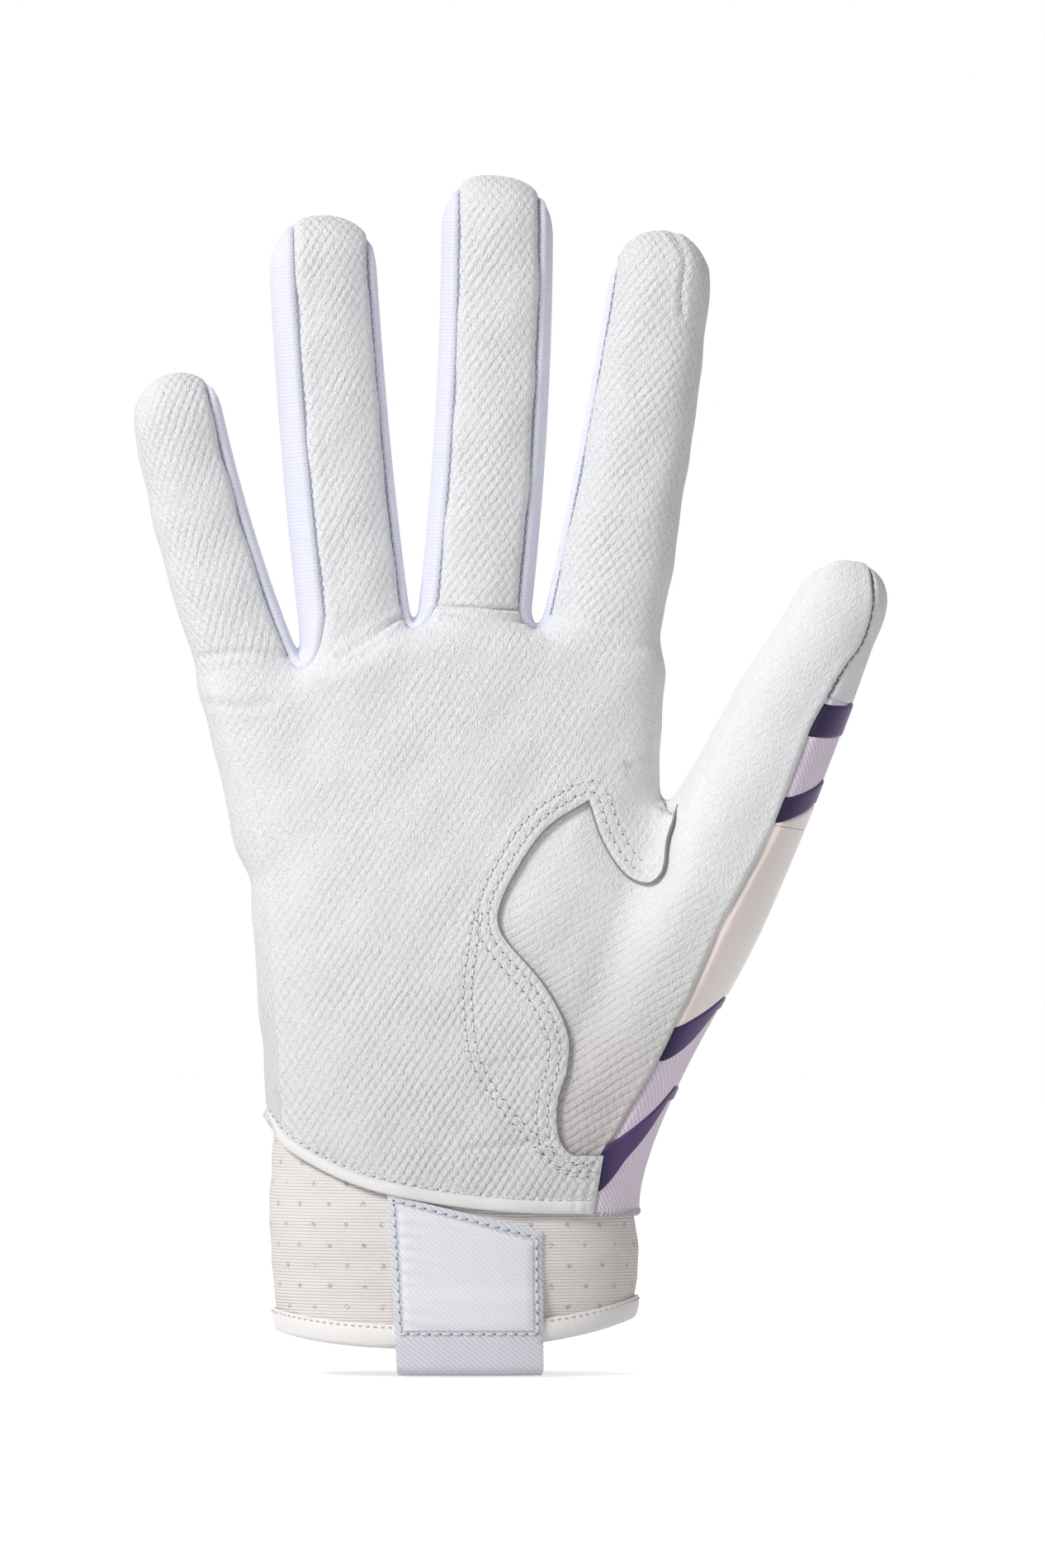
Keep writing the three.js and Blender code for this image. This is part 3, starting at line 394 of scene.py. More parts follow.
@dataclass(frozen=True)
class Hand:
    """The hand from the cuff's mouth to the knuckles, as rounded sections up the Z axis."""

    left: Course
    right: Course
    depth: Course
    knuckles: Course
    middle_y: float = -0.5
    top_round: float = 5.0

    def section(self, z: Array) -> tuple[Array, Array, Array]:
        """Middle, half width and half depth at heights."""
        left, right = self.left.at(z), self.right.at(z)
        return (left + right) / 2, (right - left) / 2, self.depth.at(z)

    def field(self, p: Array) -> Array:
        """Below zero inside the hand, and about the distance from it outside."""
        x, y, z = np.moveaxis(p, -1, 0)
        middle, half, depth = self.section(z)
        n = PALM_SQUARE
        reach = (np.abs((x - middle) / half) ** n + np.abs((y - self.middle_y) / depth) ** n) ** (1 / n)
        return -smooth_min(-(reach - 1) * depth, self.knuckles.at(x) - z, self.top_round)

    def around(self, degrees: Array, z: Array) -> Array:
        """A place round a section: 0 is the thumb side, 90 the palm, 180 the little-finger side."""
        middle, half, depth = self.section(z)
        n = 2 / PALM_SQUARE
        turn = np.radians(degrees)
        x = middle + half * power(np.cos(turn), n)
        y = self.middle_y - depth * power(np.sin(turn), n)
        return np.stack(np.broadcast_arrays(x, y, z), -1)


class Form:
    """The smooth form that all panels lie on: hand, thumb and fingers run into each other."""

    FINGER_ROUND = 1.6
    KNUCKLE_ROUND = 6.0
    THUMB_ROUND = 4.2
    PROBE = 0.02
    SETTLES = 6
    LEAST_SLOPE = 0.05
    LONGEST_STEP = 3.0
    FAR = 60.0
    MARCHES = 70
    CLOSE = 0.002
    CAUTION = 0.6

    def __init__(self, hand: Hand, thumb: Digit, fingers: tuple[Digit, ...]) -> None:
        """Keeps the hand, the thumb and the fingers."""
        self.hand, self.thumb, self.fingers = hand, thumb, fingers

    def field(self, p: Array) -> Array:
        """Below zero inside, and about the distance from the form outside."""
        fingers = self.fingers[0].field(p)
        for finger in self.fingers[1:]:
            fingers = smooth_min(fingers, finger.field(p), self.FINGER_ROUND)
        hand = smooth_min(self.hand.field(p), self.thumb.field(p), self.THUMB_ROUND)
        return smooth_min(hand, fingers, self.KNUCKLE_ROUND)

    def settle(self, p: Array) -> Array:
        """The nearest places of the form's surface, by Newton steps down the gradient."""
        for _ in range(self.SETTLES):
            height = self.field(p)
            slope = [(self.field(p + step) - height) / self.PROBE for step in np.eye(3) * self.PROBE]
            slope = np.stack(slope, -1)
            step = height / np.maximum((slope ** 2).sum(-1), self.LEAST_SLOPE)
            p = p - slope * np.clip(step, -self.LONGEST_STEP, self.LONGEST_STEP)[..., None]
        return p

    def out(self, p: Array) -> Array:
        """The way out of the form at places, from small steps both ways along each axis."""
        steps = np.eye(3) * self.PROBE
        return unit(np.stack([self.field(p + step) - self.field(p - step) for step in steps], -1))

    def lift(self, xz: Array, face: Face) -> Array:
        """The surface straight in front of or behind places in the X-Z plane, reached from well outside."""
        way = -face.value
        p = np.stack([xz[..., 0], np.full(xz.shape[:-1], self.FAR * way), xz[..., 1]], -1)
        for _ in range(self.MARCHES):
            gap = self.field(p)
            p[..., 1] -= way * np.where(gap > self.CLOSE, self.CAUTION * gap, 0.0)
        p[..., 1] = np.where(p[..., 1] * way > 0, p[..., 1], 0)
        return p

    def around(self, degrees: Array, z: Array) -> Array:
        """Places round the hand's own section, settled on the form."""
        return self.settle(self.hand.around(degrees, z))


def make_form() -> Form:
    """The form of this glove's hand."""
    hand = Hand(
        Course(((0, -35.8), (12, -37.1), (30, -37), (44, -37), (60, -38.4), (80, -39.6), (97, -40.6), (113, -41.6),
                (130, -45.9))),
        Course(((0, 35.6), (12, 36.4), (30, 35.8), (50, 38.5), (70, 46), (86, 48.5), (94, 45), (99, 41.6),
                (103, 40.0), (108, 38.9), (114, 37.9), (130, 36.9))),
        Course(((0, 22.5), (30, 22), (60, 18.5), (80, 16.4), (100, 14.6), (130, 12))),
        Course(((-50, 124.5), (-28.5, 127.5), (-8.7, 134.6), (14.2, 134.6), (40, 130))),
    )
    thumb = Digit(
        "thumb", (55.6, 99.5), 54.4, 24.6,
        Course(((-78, 10.4), (-48, 11), (-22, 12.7), (0, 12.4), (14, 11.7), (28, 10.6), (36, 9.7), (42, 9),
                (55, 8.6))),
        Course(((-78, 13), (-48, 15), (-22, 14.5), (0, 12.4), (28, 10.4), (55, 9.2))),
        Course(((-78, -2), (-48, -4.5), (-22, -5.5), (0, -5), (28, -6.5), (55, -9))),
        11.5, 78, (-0.8, 0.56), (-0.8, 0.8), tip=1.5, bend_at=-1, bend_tilt=16,
    )
    fingers = (
        Digit.finger("little", (-40.4, 128.6), 58.9, -15.2, -1.4, (9.8, 8.7), (9, 7.8), 5, 9.5, (-0.8, 0.82),
                     (-0.8, 0.82)),
        Digit.finger("ring", (-19.9, 138.6), 78.3, -4.3, -1, (10.9, 10.4), (9.8, 8.6), 6, 12, (-0.52, 0.88),
                     (-0.88, 0.66), -0.7),
        Digit.finger("middle", (3.8, 140), 84.5, 2.9, 1.3, (11, 10.9), (10.2, 8.8), 6, 12, (-0.7, 0.78),
                     (-0.8, 0.74)),
        Digit.finger("index", (28.8, 137), 77.6, 9, 0.9, (11.5, 9.6), (10, 8.6), 6, 13.5, (-0.94, 0.8),
                     (-0.8, 0.8), 0.5),
    )
    return Form(hand, thumb, fingers)


def grid_quads(rows: int, columns: int, ring_rows: bool = False, ring_columns: bool = False) -> Array:
    """Corner numbers of a grid's quads, closed into a ring along rows or columns if asked.

    Args:
        rows: Count of rows.
        columns: Count of columns.
        ring_rows: Whether the last row joins the first.
        ring_columns: Whether the last column joins the first.

    Returns:
        Corner numbers, count by 4.
    """
    i, j = np.meshgrid(np.arange(rows - (not ring_rows)), np.arange(columns - (not ring_columns)), indexing="ij")
    up, right = (i + 1) % rows, (j + 1) % columns
    return np.stack([i * columns + j, i * columns + right, up * columns + right, up * columns + j], -1).reshape(-1, 4)


def make_object(name: str, points: Array, quads: Array, cloth: Array, finishes: list["Finish"],
                slots: Array | None = None, sharp: float = 55.0) -> bpy.types.Object:
    """A mesh object from quads, smooth but for its sharp edges.

    Args:
        name: Name of the object.
        points: Places in millimetres, count by 3.
        quads: Corner numbers, count by 4; a repeated corner makes a triangle.
        cloth: The cloth's own coordinates in millimetres at each corner, count by 4 by 2.
        finishes: Finishes of the material slots.
        slots: Material slot of each quad, or none for the first.
        sharp: Angle in degrees from which an edge is sharp.

    Returns:
        The object, at the origin, linked to the scene.
    """
    slots = np.zeros(len(quads), np.int32) if slots is None else slots
    keep = quads != np.roll(quads, -1, axis=1)
    whole = keep.sum(axis=1) >= 3
    quads, cloth, slots, keep = quads[whole], cloth[whole], slots[whole], keep[whole]
    loops = quads[keep].astype(np.int32)
    starts = np.concatenate([[0], np.cumsum(keep.sum(axis=1))[:-1]]).astype(np.int32)
    mesh = bpy.data.meshes.new(name)
    mesh.vertices.add(len(points))
    mesh.vertices.foreach_set("co", (points * MM).ravel().astype(np.float32))
    mesh.loops.add(len(loops))
    mesh.loops.foreach_set("vertex_index", loops)
    mesh.polygons.add(len(starts))
    mesh.polygons.foreach_set("loop_start", starts)
    mesh.polygons.foreach_set("material_index", slots.astype(np.int32))
    mesh.update(calc_edges=True)
    layer = mesh.uv_layers.new(name="cloth")
    layer.uv.foreach_set("vector", cloth[keep].ravel().astype(np.float32))
    mesh.validate()
    mesh.shade_smooth()
    mesh.set_sharp_from_angle(angle=math.radians(sharp))
    for finish in finishes:
        mesh.materials.append(finish.material())
    piece = bpy.data.objects.new(name, mesh)
    bpy.context.scene.collection.objects.link(piece)
    return piece


@dataclass(frozen=True)
class Patch:
    """A grid of places near the form, with the cloth's own coordinates and the outer face's height above the form."""

    places: Array
    cloth: Array
    height: Array


class Cutter:
    """Cuts closed panels and sews threads on the form."""

    WELD = 0.02

    def __init__(self, form: Form) -> None:
        """Keeps the form."""
        self.form = form

    def panel(self, name: str, patches: list[Patch], wall: float, finishes: list["Finish"]) -> bpy.types.Object:
        """A closed panel: patches joined where their edges meet, an inner face one wall below, and rims.

        Args:
            name: Name of the piece.
            patches: The patches.
            wall: Thickness below the outer face.
            finishes: The finish, and a second one for the rims if they differ.

        Returns:
            The object.
        """
        settled = [self.form.settle(patch.places) for patch in patches]
        sizes = [patch.height.size for patch in patches]
        offsets = np.concatenate([[0], np.cumsum(sizes)[:-1]])
        flat = np.concatenate([points.reshape(-1, 3) for points in settled])
        out = self.form.out(flat)
        keys = np.round(flat / self.WELD).astype(np.int64)
        _, first, joined = np.unique(keys, axis=0, return_index=True, return_inverse=True)
        joined = joined.reshape(-1)
        quads, cloth = [], []
        for patch, points, offset in zip(patches, settled, offsets):
            own = grid_quads(*patch.height.shape)
            corners = points.reshape(-1, 3)[own]
            normal = np.cross(corners[:, 2] - corners[:, 0], corners[:, 3] - corners[:, 1])
            own = own if (normal * out[own[:, 0] + offset]).sum() > 0 else own[:, ::-1]
            quads.append(joined[own + offset])
            cloth.append(patch.cloth.reshape(-1, 2)[own])
        quads, cloth = np.concatenate(quads), np.concatenate(cloth)
        height = np.concatenate([patch.height.reshape(-1) for patch in patches])[first]
        count = len(first)
        points = np.concatenate([flat[first] + out[first] * height[:, None],
                                 flat[first] + out[first] * (height - wall)[:, None]])
        rims, rim_cloth = self.rims(quads, cloth, count)
        slots = np.concatenate([np.zeros(2 * len(quads)), np.full(len(rims), len(finishes) - 1)])
        quads = np.concatenate([quads, quads[:, ::-1] + count, rims])
        cloth = np.concatenate([cloth, cloth[:, ::-1], rim_cloth])
        return make_object(name, points, quads, cloth, finishes, slots)

    @staticmethod
    def rims(quads: Array, cloth: Array, count: int) -> tuple[Array, Array]:
        """Quads from the open edges of an outer face down to the inner face.

        Args:
            quads: Corner numbers of the outer face.
            cloth: Cloth coordinates at its corners.
            count: Count of places on the outer face.

        Returns:
            Corner numbers and cloth coordinates of the rim.
        """
        a, b = quads.ravel(), np.roll(quads, -1, axis=1).ravel()
        from_a, from_b = cloth.reshape(-1, 2), np.roll(cloth, -1, axis=1).reshape(-1, 2)
        is_open = ~np.isin(a * count + b, b * count + a) & (a != b)
        a, b, from_a, from_b = a[is_open], b[is_open], from_a[is_open], from_b[is_open]
        rim = np.stack([b, a, a + count, b + count], -1)
        return rim, np.stack([from_b, from_a, from_a, from_b], 1)

    def sewn(self, name: str, lines: list[Array], heights: list[Array], stitch: "Stitch",
             finish: "Finish") -> bpy.types.Object:
        """A piece of stitches along lines near the form.

        Args:
            name: Name of the piece.
            lines: Places of each line, count by 3.
            heights: Height of the cloth above the form along each line.
            stitch: The stitch.
            finish: The thread's finish.

        Returns:
            The object.
        """
        settled = [self.form.settle(line) for line in lines]
        outs = [self.form.out(line) for line in settled]
        rows = [stitch.row(line + out * np.broadcast_to(height, len(line))[:, None], out)
                for line, out, height in zip(settled, outs, heights)]
        totals = np.concatenate([[0], np.cumsum([len(points) for points, _, _ in rows])])
        points = np.concatenate([points for points, _, _ in rows])
        quads = np.concatenate([quads + total for (_, quads, _), total in zip(rows, totals)])
        cloth = np.concatenate([cloth for _, _, cloth in rows])
        return make_object(name, points, quads, cloth, [finish], sharp=180)


@dataclass(frozen=True)
class Stitch:
    """A short capsule that bows out of the cloth and dives in at both ends, used for stitches of round thread and for
    dark marks of painted shade at needle holes and seams.
    """

    pitch: float
    length: float
    radius: float
    rise: float
    turn: float = 0.0
    start: float = 0.5
    zigzag: bool = False
    RINGS = 6
    SIDES = 6
    ENDS = ((0, 3, 2, 1), (0, 5, 4, 3))
    BLUNT = 1.15
    DIVE = 1.6

    def row(self, path: Array, out: Array) -> tuple[Array, Array, Array]:
        """Stitches at even spacing along a path.

        Args:
            path: Places on the cloth, count by 3.
            out: The way out of the cloth at each place.

        Returns:
            Places, corner numbers and the thread's own coordinates of all stitches.
        """
        reach = run(path, 0)
        at = np.arange(self.pitch * self.start, reach[-1], self.pitch)

        def sample(values: Array) -> Array:
            """Values of the path at the stitches."""
            return np.stack([np.interp(at, reach, values[:, k]) for k in range(3)], -1)

        centre, up = sample(path), unit(sample(out))
        ahead = sample(np.gradient(path, axis=0))
        ahead = unit(ahead - up * (ahead * up).sum(-1, keepdims=True))
        aside = np.cross(up, ahead)
        back = self.zigzag & (np.arange(len(at)) % 2 == 1)
        turn = math.radians(self.turn) * np.where(back, -1, 1)[:, None]
        way = ahead * np.cos(turn) + aside * np.sin(turn)
        across = np.cross(up, way)
        t, a = np.meshgrid(np.linspace(-1, 1, self.RINGS), np.arange(self.SIDES) * math.tau / self.SIDES,
                           indexing="ij")
        thick = self.radius * np.sqrt(self.BLUNT - t ** 4)
        x, y = t * self.length / 2, thick * np.cos(a)
        z = self.rise * (1 - self.DIVE * t ** 2) + thick * np.sin(a)
        grid = (centre[:, None, None] + way[:, None, None] * x[..., None] + across[:, None, None] * y[..., None]
                + up[:, None, None] * z[..., None])
        size = self.RINGS * self.SIDES
        ends = np.array(self.ENDS)
        own = np.concatenate([grid_quads(self.RINGS, self.SIDES, ring_columns=True), ends,
                              (ends + size - self.SIDES)[:, ::-1]])
        quads = own[None] + (np.arange(len(at)) * size)[:, None, None]
        cloth = np.stack([a * self.radius, x], -1).reshape(-1, 2)[own]
        return grid.reshape(-1, 3), quads.reshape(-1, 4), np.tile(cloth, (len(at), 1, 1))


Socket = bpy.types.NodeSocket
Value = float | tuple[float, ...] | Socket
Sockets = bpy.types.bpy_prop_collection
Looks = tuple[Socket, Socket, Socket | None]
ACROSS, ALONG, UP = (1, 0, 0), (0, 1, 0), (0, 0, 1)


class Graph:
    """A node tree with short calls: each adds a node, sets or links its inputs and gives back an output."""

    def __init__(self, tree: bpy.types.NodeTree) -> None:
        """Keeps the tree."""
        self.tree = tree

    def node(self, kind: str, settings: dict[str, object], inputs: dict[str | int, Value]) -> bpy.types.Node:
        """Adds a node.

        Args:
            kind: The node's type.
            settings: Its properties.
            inputs: Values or sockets for its inputs, by name or number.

        Returns:
            The node.
        """
        node = self.tree.nodes.new(kind)
        for name, value in settings.items():
            setattr(node, name, value)
        for key, value in inputs.items():
            if isinstance(value, bpy.types.NodeSocket):
                self.tree.links.new(value, node.inputs[key])
            else:
                node.inputs[key].default_value = value
        return node

    def math(self, operation: str, *values: Value) -> Socket:
        """A Math node's value."""
        return self.node("ShaderNodeMath", {"operation": operation}, dict(enumerate(values))).outputs[0]

    def dot(self, vector: Value, way: tuple[float, float, float]) -> Socket:
        """How far a vector reaches along a way."""
        return self.node("ShaderNodeVectorMath", {"operation": "DOT_PRODUCT"}, {0: vector, 1: way}).outputs["Value"]

    def turns(self, vector: Value, way: tuple[float, float, float], length: Value) -> Socket:
        """How many lengths a vector reaches along a way."""
        return self.math("DIVIDE", self.dot(vector, way), length)

    def crest(self, turns: Value) -> Socket:
        """A round crest in each turn, 0 at its ends and 1 in its middle."""
        return self.math("ABSOLUTE", self.math("SINE", self.math("MULTIPLY", turns, math.pi)))

    def rays(self, *kinds: str) -> Socket:
        """1 for some kinds of ray and 0 for the others."""
        path = self.node("ShaderNodeLightPath", {}, {})
        seen = path.outputs[kinds[0]]
        for kind in kinds[1:]:
            seen = self.math("MAXIMUM", seen, path.outputs[kind])
        return seen

    def span(self, value: Value, low: Value, high: Value, to_low: float = 0.0, to_high: float = 1.0) -> Socket:
        """A value carried softly from one range to another."""
        inputs = {"Value": value, "From Min": low, "From Max": high, "To Min": to_low, "To Max": to_high}
        return self.node("ShaderNodeMapRange", {"interpolation_type": "SMOOTHSTEP"}, inputs).outputs["Result"]

    def noise(self, vector: Value, scale: Value, detail: float = 3.0, rough: float = 0.5) -> Socket:
        """Soft noise from 0 to 1."""
        inputs = {"Vector": vector, "Scale": scale, "Detail": detail, "Roughness": rough}
        return self.node("ShaderNodeTexNoise", {}, inputs).outputs["Fac"]

    def colour(self, a: Value, b: Value, share: Value) -> Socket:
        """The colour at a share of the way from a to b."""
        return self.node("ShaderNodeMix", {"data_type": "RGBA"}, {0: share, 6: a, 7: b}).outputs[2]

    def group(self, effect: "Effect", inputs: dict[str, Value]) -> bpy.types.Node:
        """A shared effect placed with its own values."""
        return self.node("ShaderNodeGroup", {"node_tree": effect.tree()}, inputs)


def linear(code: str) -> tuple[float, float, float, float]:
    """A scene-linear colour from a hex code."""
    values = np.array([int(code[k:k + 2], 16) for k in (0, 2, 4)]) / 255
    values = np.where(values <= 0.04045, values / 12.92, ((values + 0.055) / 1.055) ** 2.4)
    return (*values.tolist(), 1.0)


class Effect:
    """A shader node group that several finishes share, built once."""

    name: str
    values: dict[str, float]
    results: tuple[str, ...]

    def tree(self) -> bpy.types.NodeTree:
        """The group, made on first use."""
        known = bpy.data.node_groups.get(self.name)
        if known:
            return known
        tree = bpy.data.node_groups.new(self.name, "ShaderNodeTree")
        tree.interface.new_socket("Vector", in_out="INPUT", socket_type="NodeSocketVector")
        for name, value in self.values.items():
            tree.interface.new_socket(name, in_out="INPUT", socket_type="NodeSocketFloat").default_value = value
        for name in self.results:
            tree.interface.new_socket(name, in_out="OUTPUT", socket_type="NodeSocketFloat")
        graph = Graph(tree)
        entry = tree.nodes.new("NodeGroupInput")
        leave = tree.nodes.new("NodeGroupOutput")
        for name, socket in self.wire(graph, entry.outputs).items():
            tree.links.new(socket, leave.inputs[name])
        return tree

    def wire(self, graph: Graph, given: Sockets) -> dict[str, Socket]:
        """The group's own nodes, from its inputs to its results."""
        raise NotImplementedError


class DiamondEmboss(Effect):
    """Pressed diamonds: two families of soft grooves, the second one shallower, worn in patches.

    Each family's distance is |fraction of the reach across the grooves - 1/2| times the spacing, and the height falls
    by half the sum of the families' soft steps into their grooves.
    """

    name = "diamond_emboss"
    values = {"Spacing": 1.5, "Width": 0.62, "Wear": 0.5, "Cross": 1.0}
    results = ("Height",)
    LEAN = math.radians(33)

    def wire(self, graph: Graph, given: Sockets) -> dict[str, Socket]:
        """Height 0 on the pillows and below it in the grooves."""
        wobble = graph.math("MULTIPLY", graph.noise(given["Vector"], 0.16, 2.0), 0.9)
        wobble = graph.math("MULTIPLY_ADD", graph.noise(given["Vector"], 1.1, 2.0), 0.4, wobble)
        grooves = []
        for way, share in ((-1, 1.0), (1, given["Cross"])):
            across = graph.dot(given["Vector"], (math.cos(self.LEAN), way * math.sin(self.LEAN), 0))
            turns = graph.math("DIVIDE", graph.math("ADD", across, wobble), given["Spacing"])
            gap = graph.math("MULTIPLY", graph.math("PINGPONG", turns, 0.5), given["Spacing"])
            grooves.append(graph.math("MULTIPLY", graph.span(gap, given["Width"], 0.0), share))
        pressed = graph.math("MULTIPLY", graph.math("ADD", *grooves), 0.5)
        patches = graph.span(graph.noise(given["Vector"], 0.07, 3.0, 0.6), 0.36, 0.64)
        worn = graph.math("SUBTRACT", graph.math("MULTIPLY", patches, given["Wear"]), 1.0)
        return {"Height": graph.math("MULTIPLY", pressed, worn)}


class Grain(Effect):
    """Fine pebbled grain: small cells, longer up than across, broken up by a finer noise."""

    name = "fine_grain"
    values = {"Size": 0.5}
    results = ("Height", "Tint")
    SQUEEZE = (1.0, 0.55, 1.0)

    def wire(self, graph: Graph, given: Sockets) -> dict[str, Socket]:
        """Height from 0 to 1, and a broad tint from 0 to 1."""
        scale = graph.math("DIVIDE", 1.0, given["Size"])
        long = graph.node("ShaderNodeVectorMath", {"operation": "MULTIPLY"},
                          {0: given["Vector"], 1: self.SQUEEZE}).outputs[0]
        cells = graph.node("ShaderNodeTexVoronoi", {"feature": "SMOOTH_F1"},
                           {"Vector": long, "Scale": scale, "Smoothness": 0.4}).outputs["Distance"]
        fine = graph.noise(long, graph.math("MULTIPLY", scale, 1.7), 4.0, 0.6)
        height = graph.math("MULTIPLY_ADD", cells, 0.55, graph.math("MULTIPLY", fine, 0.6))
        return {"Height": height, "Tint": graph.noise(given["Vector"], 0.055, 4.0, 0.6)}


class Rib(Effect):
    """Knitted ribs: a wave across the ribs with small loops along each of them."""

    name = "knit_rib"
    values = {"Pitch": 0.8, "Turn": 0.0, "Loop": 0.6}
    results = ("Height",)

    def wire(self, graph: Graph, given: Sockets) -> dict[str, Socket]:
        """Height from 0 between ribs to 1 on their crests."""
        turned = graph.node("ShaderNodeVectorRotate", {"rotation_type": "Z_AXIS"},
                            {"Vector": given["Vector"], "Angle": given["Turn"]}).outputs[0]
        across = graph.turns(turned, ACROSS, given["Pitch"])
        along = graph.turns(turned, ALONG, given["Loop"])
        shift = graph.math("MULTIPLY", graph.math("FLOOR", across), 0.5)
        loop = graph.crest(graph.math("ADD", along, shift))
        return {"Height": graph.math("MULTIPLY_ADD", loop, 0.35, graph.math("MULTIPLY", graph.crest(across), 0.65))}


class Twill(Effect):
    """A woven twill: threads that pass over two and under two, so that steps climb in diagonals."""

    name = "woven_twill"
    values = {"Pitch": 0.6}
    results = ("Height",)

    def wire(self, graph: Graph, given: Sockets) -> dict[str, Socket]:
        """Height from 0 in the gaps to 1 on the floats."""
        u, v = (graph.turns(given["Vector"], way, given["Pitch"]) for way in (ACROSS, ALONG))
        step = graph.math("SINE", graph.math("MULTIPLY", graph.math("ADD", u, v), math.pi))
        thread = graph.crest(graph.math("SUBTRACT", u, v))
        rise = graph.math("MULTIPLY_ADD", step, 0.3, 0.35)
        return {"Height": graph.math("MULTIPLY_ADD", thread, 0.4, rise)}


class Dots(Effect):
    """Staggered rows of small holes: a lattice of cells, every other row moved by half a cell."""

    name = "staggered_holes"
    values = {"Across": 7.4, "Up": 8.0, "Radius": 0.52}
    results = ("Mask",)

    def wire(self, graph: Graph, given: Sockets) -> dict[str, Socket]:
        """Mask 1 in the holes."""
        masks = []
        for shift in (0.0, 0.5):
            squares = []
            for way, pitch in ((ACROSS, given["Across"]), (ALONG, given["Up"])):
                turns = graph.math("ADD", graph.turns(given["Vector"], way, pitch), shift)
                gap = graph.math("MULTIPLY", graph.math("PINGPONG", turns, 0.5), pitch)
                squares.append(graph.math("POWER", gap, 2.0))
            reach = graph.math("SQRT", graph.math("ADD", *squares))
            masks.append(graph.math("LESS_THAN", reach, given["Radius"]))
        return {"Mask": graph.math("MAXIMUM", *masks)}


@dataclass(frozen=True)
class Finish:
    """A finish of the glove: colours as hex codes, a Principled shader and a bump from the cloth's own relief."""

    name: str
    base: str
    shade: str
    slot: str
    rough: float = 0.7
    sheen: float = 0.0
    specular: float = 0.5
    coat: float = 0.0

    def material(self) -> bpy.types.Material:
        """The material, made on first use."""
        known = bpy.data.materials.get(self.name)
        if known:
            return known
        material = bpy.data.materials.new(self.name)
        material.use_nodes = True
        material.diffuse_color = linear(self.base)
        graph = Graph(material.node_tree)
        shader = material.node_tree.nodes["Principled BSDF"]
        settings = {
            "Roughness": self.rough, "Sheen Weight": self.sheen, "Sheen Roughness": 0.5,
            "Specular IOR Level": self.specular, "Coat Weight": self.coat, "Coat Roughness": 0.3,
        }
        for name, value in settings.items():
            shader.inputs[name].default_value = value
        cloth = graph.node("ShaderNodeUVMap", {"uv_map": "cloth"}, {}).outputs[0]
        body = graph.node("ShaderNodeTexCoord", {}, {}).outputs["Object"]
        colour, height, rough = self.wire(graph, cloth, body)
        material.node_tree.links.new(colour, shader.inputs["Base Color"])
        if rough is not None:
            material.node_tree.links.new(rough, shader.inputs["Roughness"])
        bump = graph.node("ShaderNodeBump", {}, {"Strength": 1.0, "Distance": MM, "Height": height})
        material.node_tree.links.new(bump.outputs[0], shader.inputs["Normal"])
        return material

    def toned(self, graph: Graph, tone: Value) -> Socket:
        """The colour at a tone from the base at 0 to the shade at 1."""
        return graph.colour(linear(self.base), linear(self.shade), tone)

    def wire(self, graph: Graph, cloth: Socket, body: Socket) -> Looks:
        """Colour, height in millimetres and roughness over the surface.

        Args:
            graph: The material's graph.
            cloth: The cloth's own coordinates in millimetres.
            body: Object coordinates in metres.

        Returns:
            Colour, height, and roughness or none.
        """
        grain = graph.group(Grain(), {"Vector": cloth})
        colour = self.toned(graph, grain.outputs["Tint"])
        return colour, graph.math("MULTIPLY", grain.outputs["Height"], 0.05), None


@dataclass(frozen=True)
class Leather(Finish):
    """White leather with fine grain and pressed diamonds, which are fainter above the wrist; painted shade darkens its
    pits and grooves, and dirt with painted shade darkens it towards the wrist.
    """

    width: float = 0.62
    depth: float = 0.54
    faint: float = 0.4
    wear: float = 0.5
    cross: float = 0.8
    grain: float = 0.42
    # Colour and share of the darkening towards the wrist, which is partly dirt and partly painted shade.
    dirt_and_shade_colour: str = "c6bfbc"
    dirt_and_shade: float = 0.25
    WRIST = (0.1, 0.03)
    # Share of painted shade that darkens the colour in the diamonds' grooves.
    GROOVE_SHADE = -0.14

    def wire(self, graph: Graph, cloth: Socket, body: Socket) -> Looks:
        """Colour, height and roughness of the leather."""
        low = graph.span(graph.dot(body, UP), *self.WRIST)
        emboss = graph.group(DiamondEmboss(), {"Vector": cloth, "Width": self.width, "Wear": self.wear,
                                               "Cross": self.cross})
        kept = graph.math("MULTIPLY_ADD", low, 1 - self.faint, self.faint)
        pressed = graph.math("MULTIPLY", emboss.outputs["Height"], kept)
        grain = graph.group(Grain(), {"Vector": cloth, "Size": 0.3})
        # Painted shade: the colour darkens in the grain's pits.
        pit_shade = graph.span(grain.outputs["Height"], 0.6, 0.25, 0.0, 0.6)
        tone = graph.math("MULTIPLY_ADD", grain.outputs["Tint"], 0.4, pit_shade)
        colour = self.toned(graph, tone)
        # The colour darkens in the grooves by painted shade, and towards the wrist by dirt with painted shade.
        for darkening, share in ((pressed, self.GROOVE_SHADE), (low, self.dirt_and_shade)):
            colour = graph.colour(colour, linear(self.dirt_and_shade_colour), graph.math("MULTIPLY", darkening, share))
        height = graph.math("MULTIPLY_ADD", pressed, self.depth,
                            graph.math("MULTIPLY", grain.outputs["Height"], self.grain))
        rough = graph.span(grain.outputs["Tint"], 0.2, 0.8, self.rough - 0.08, self.rough + 0.08)
        return colour, height, rough


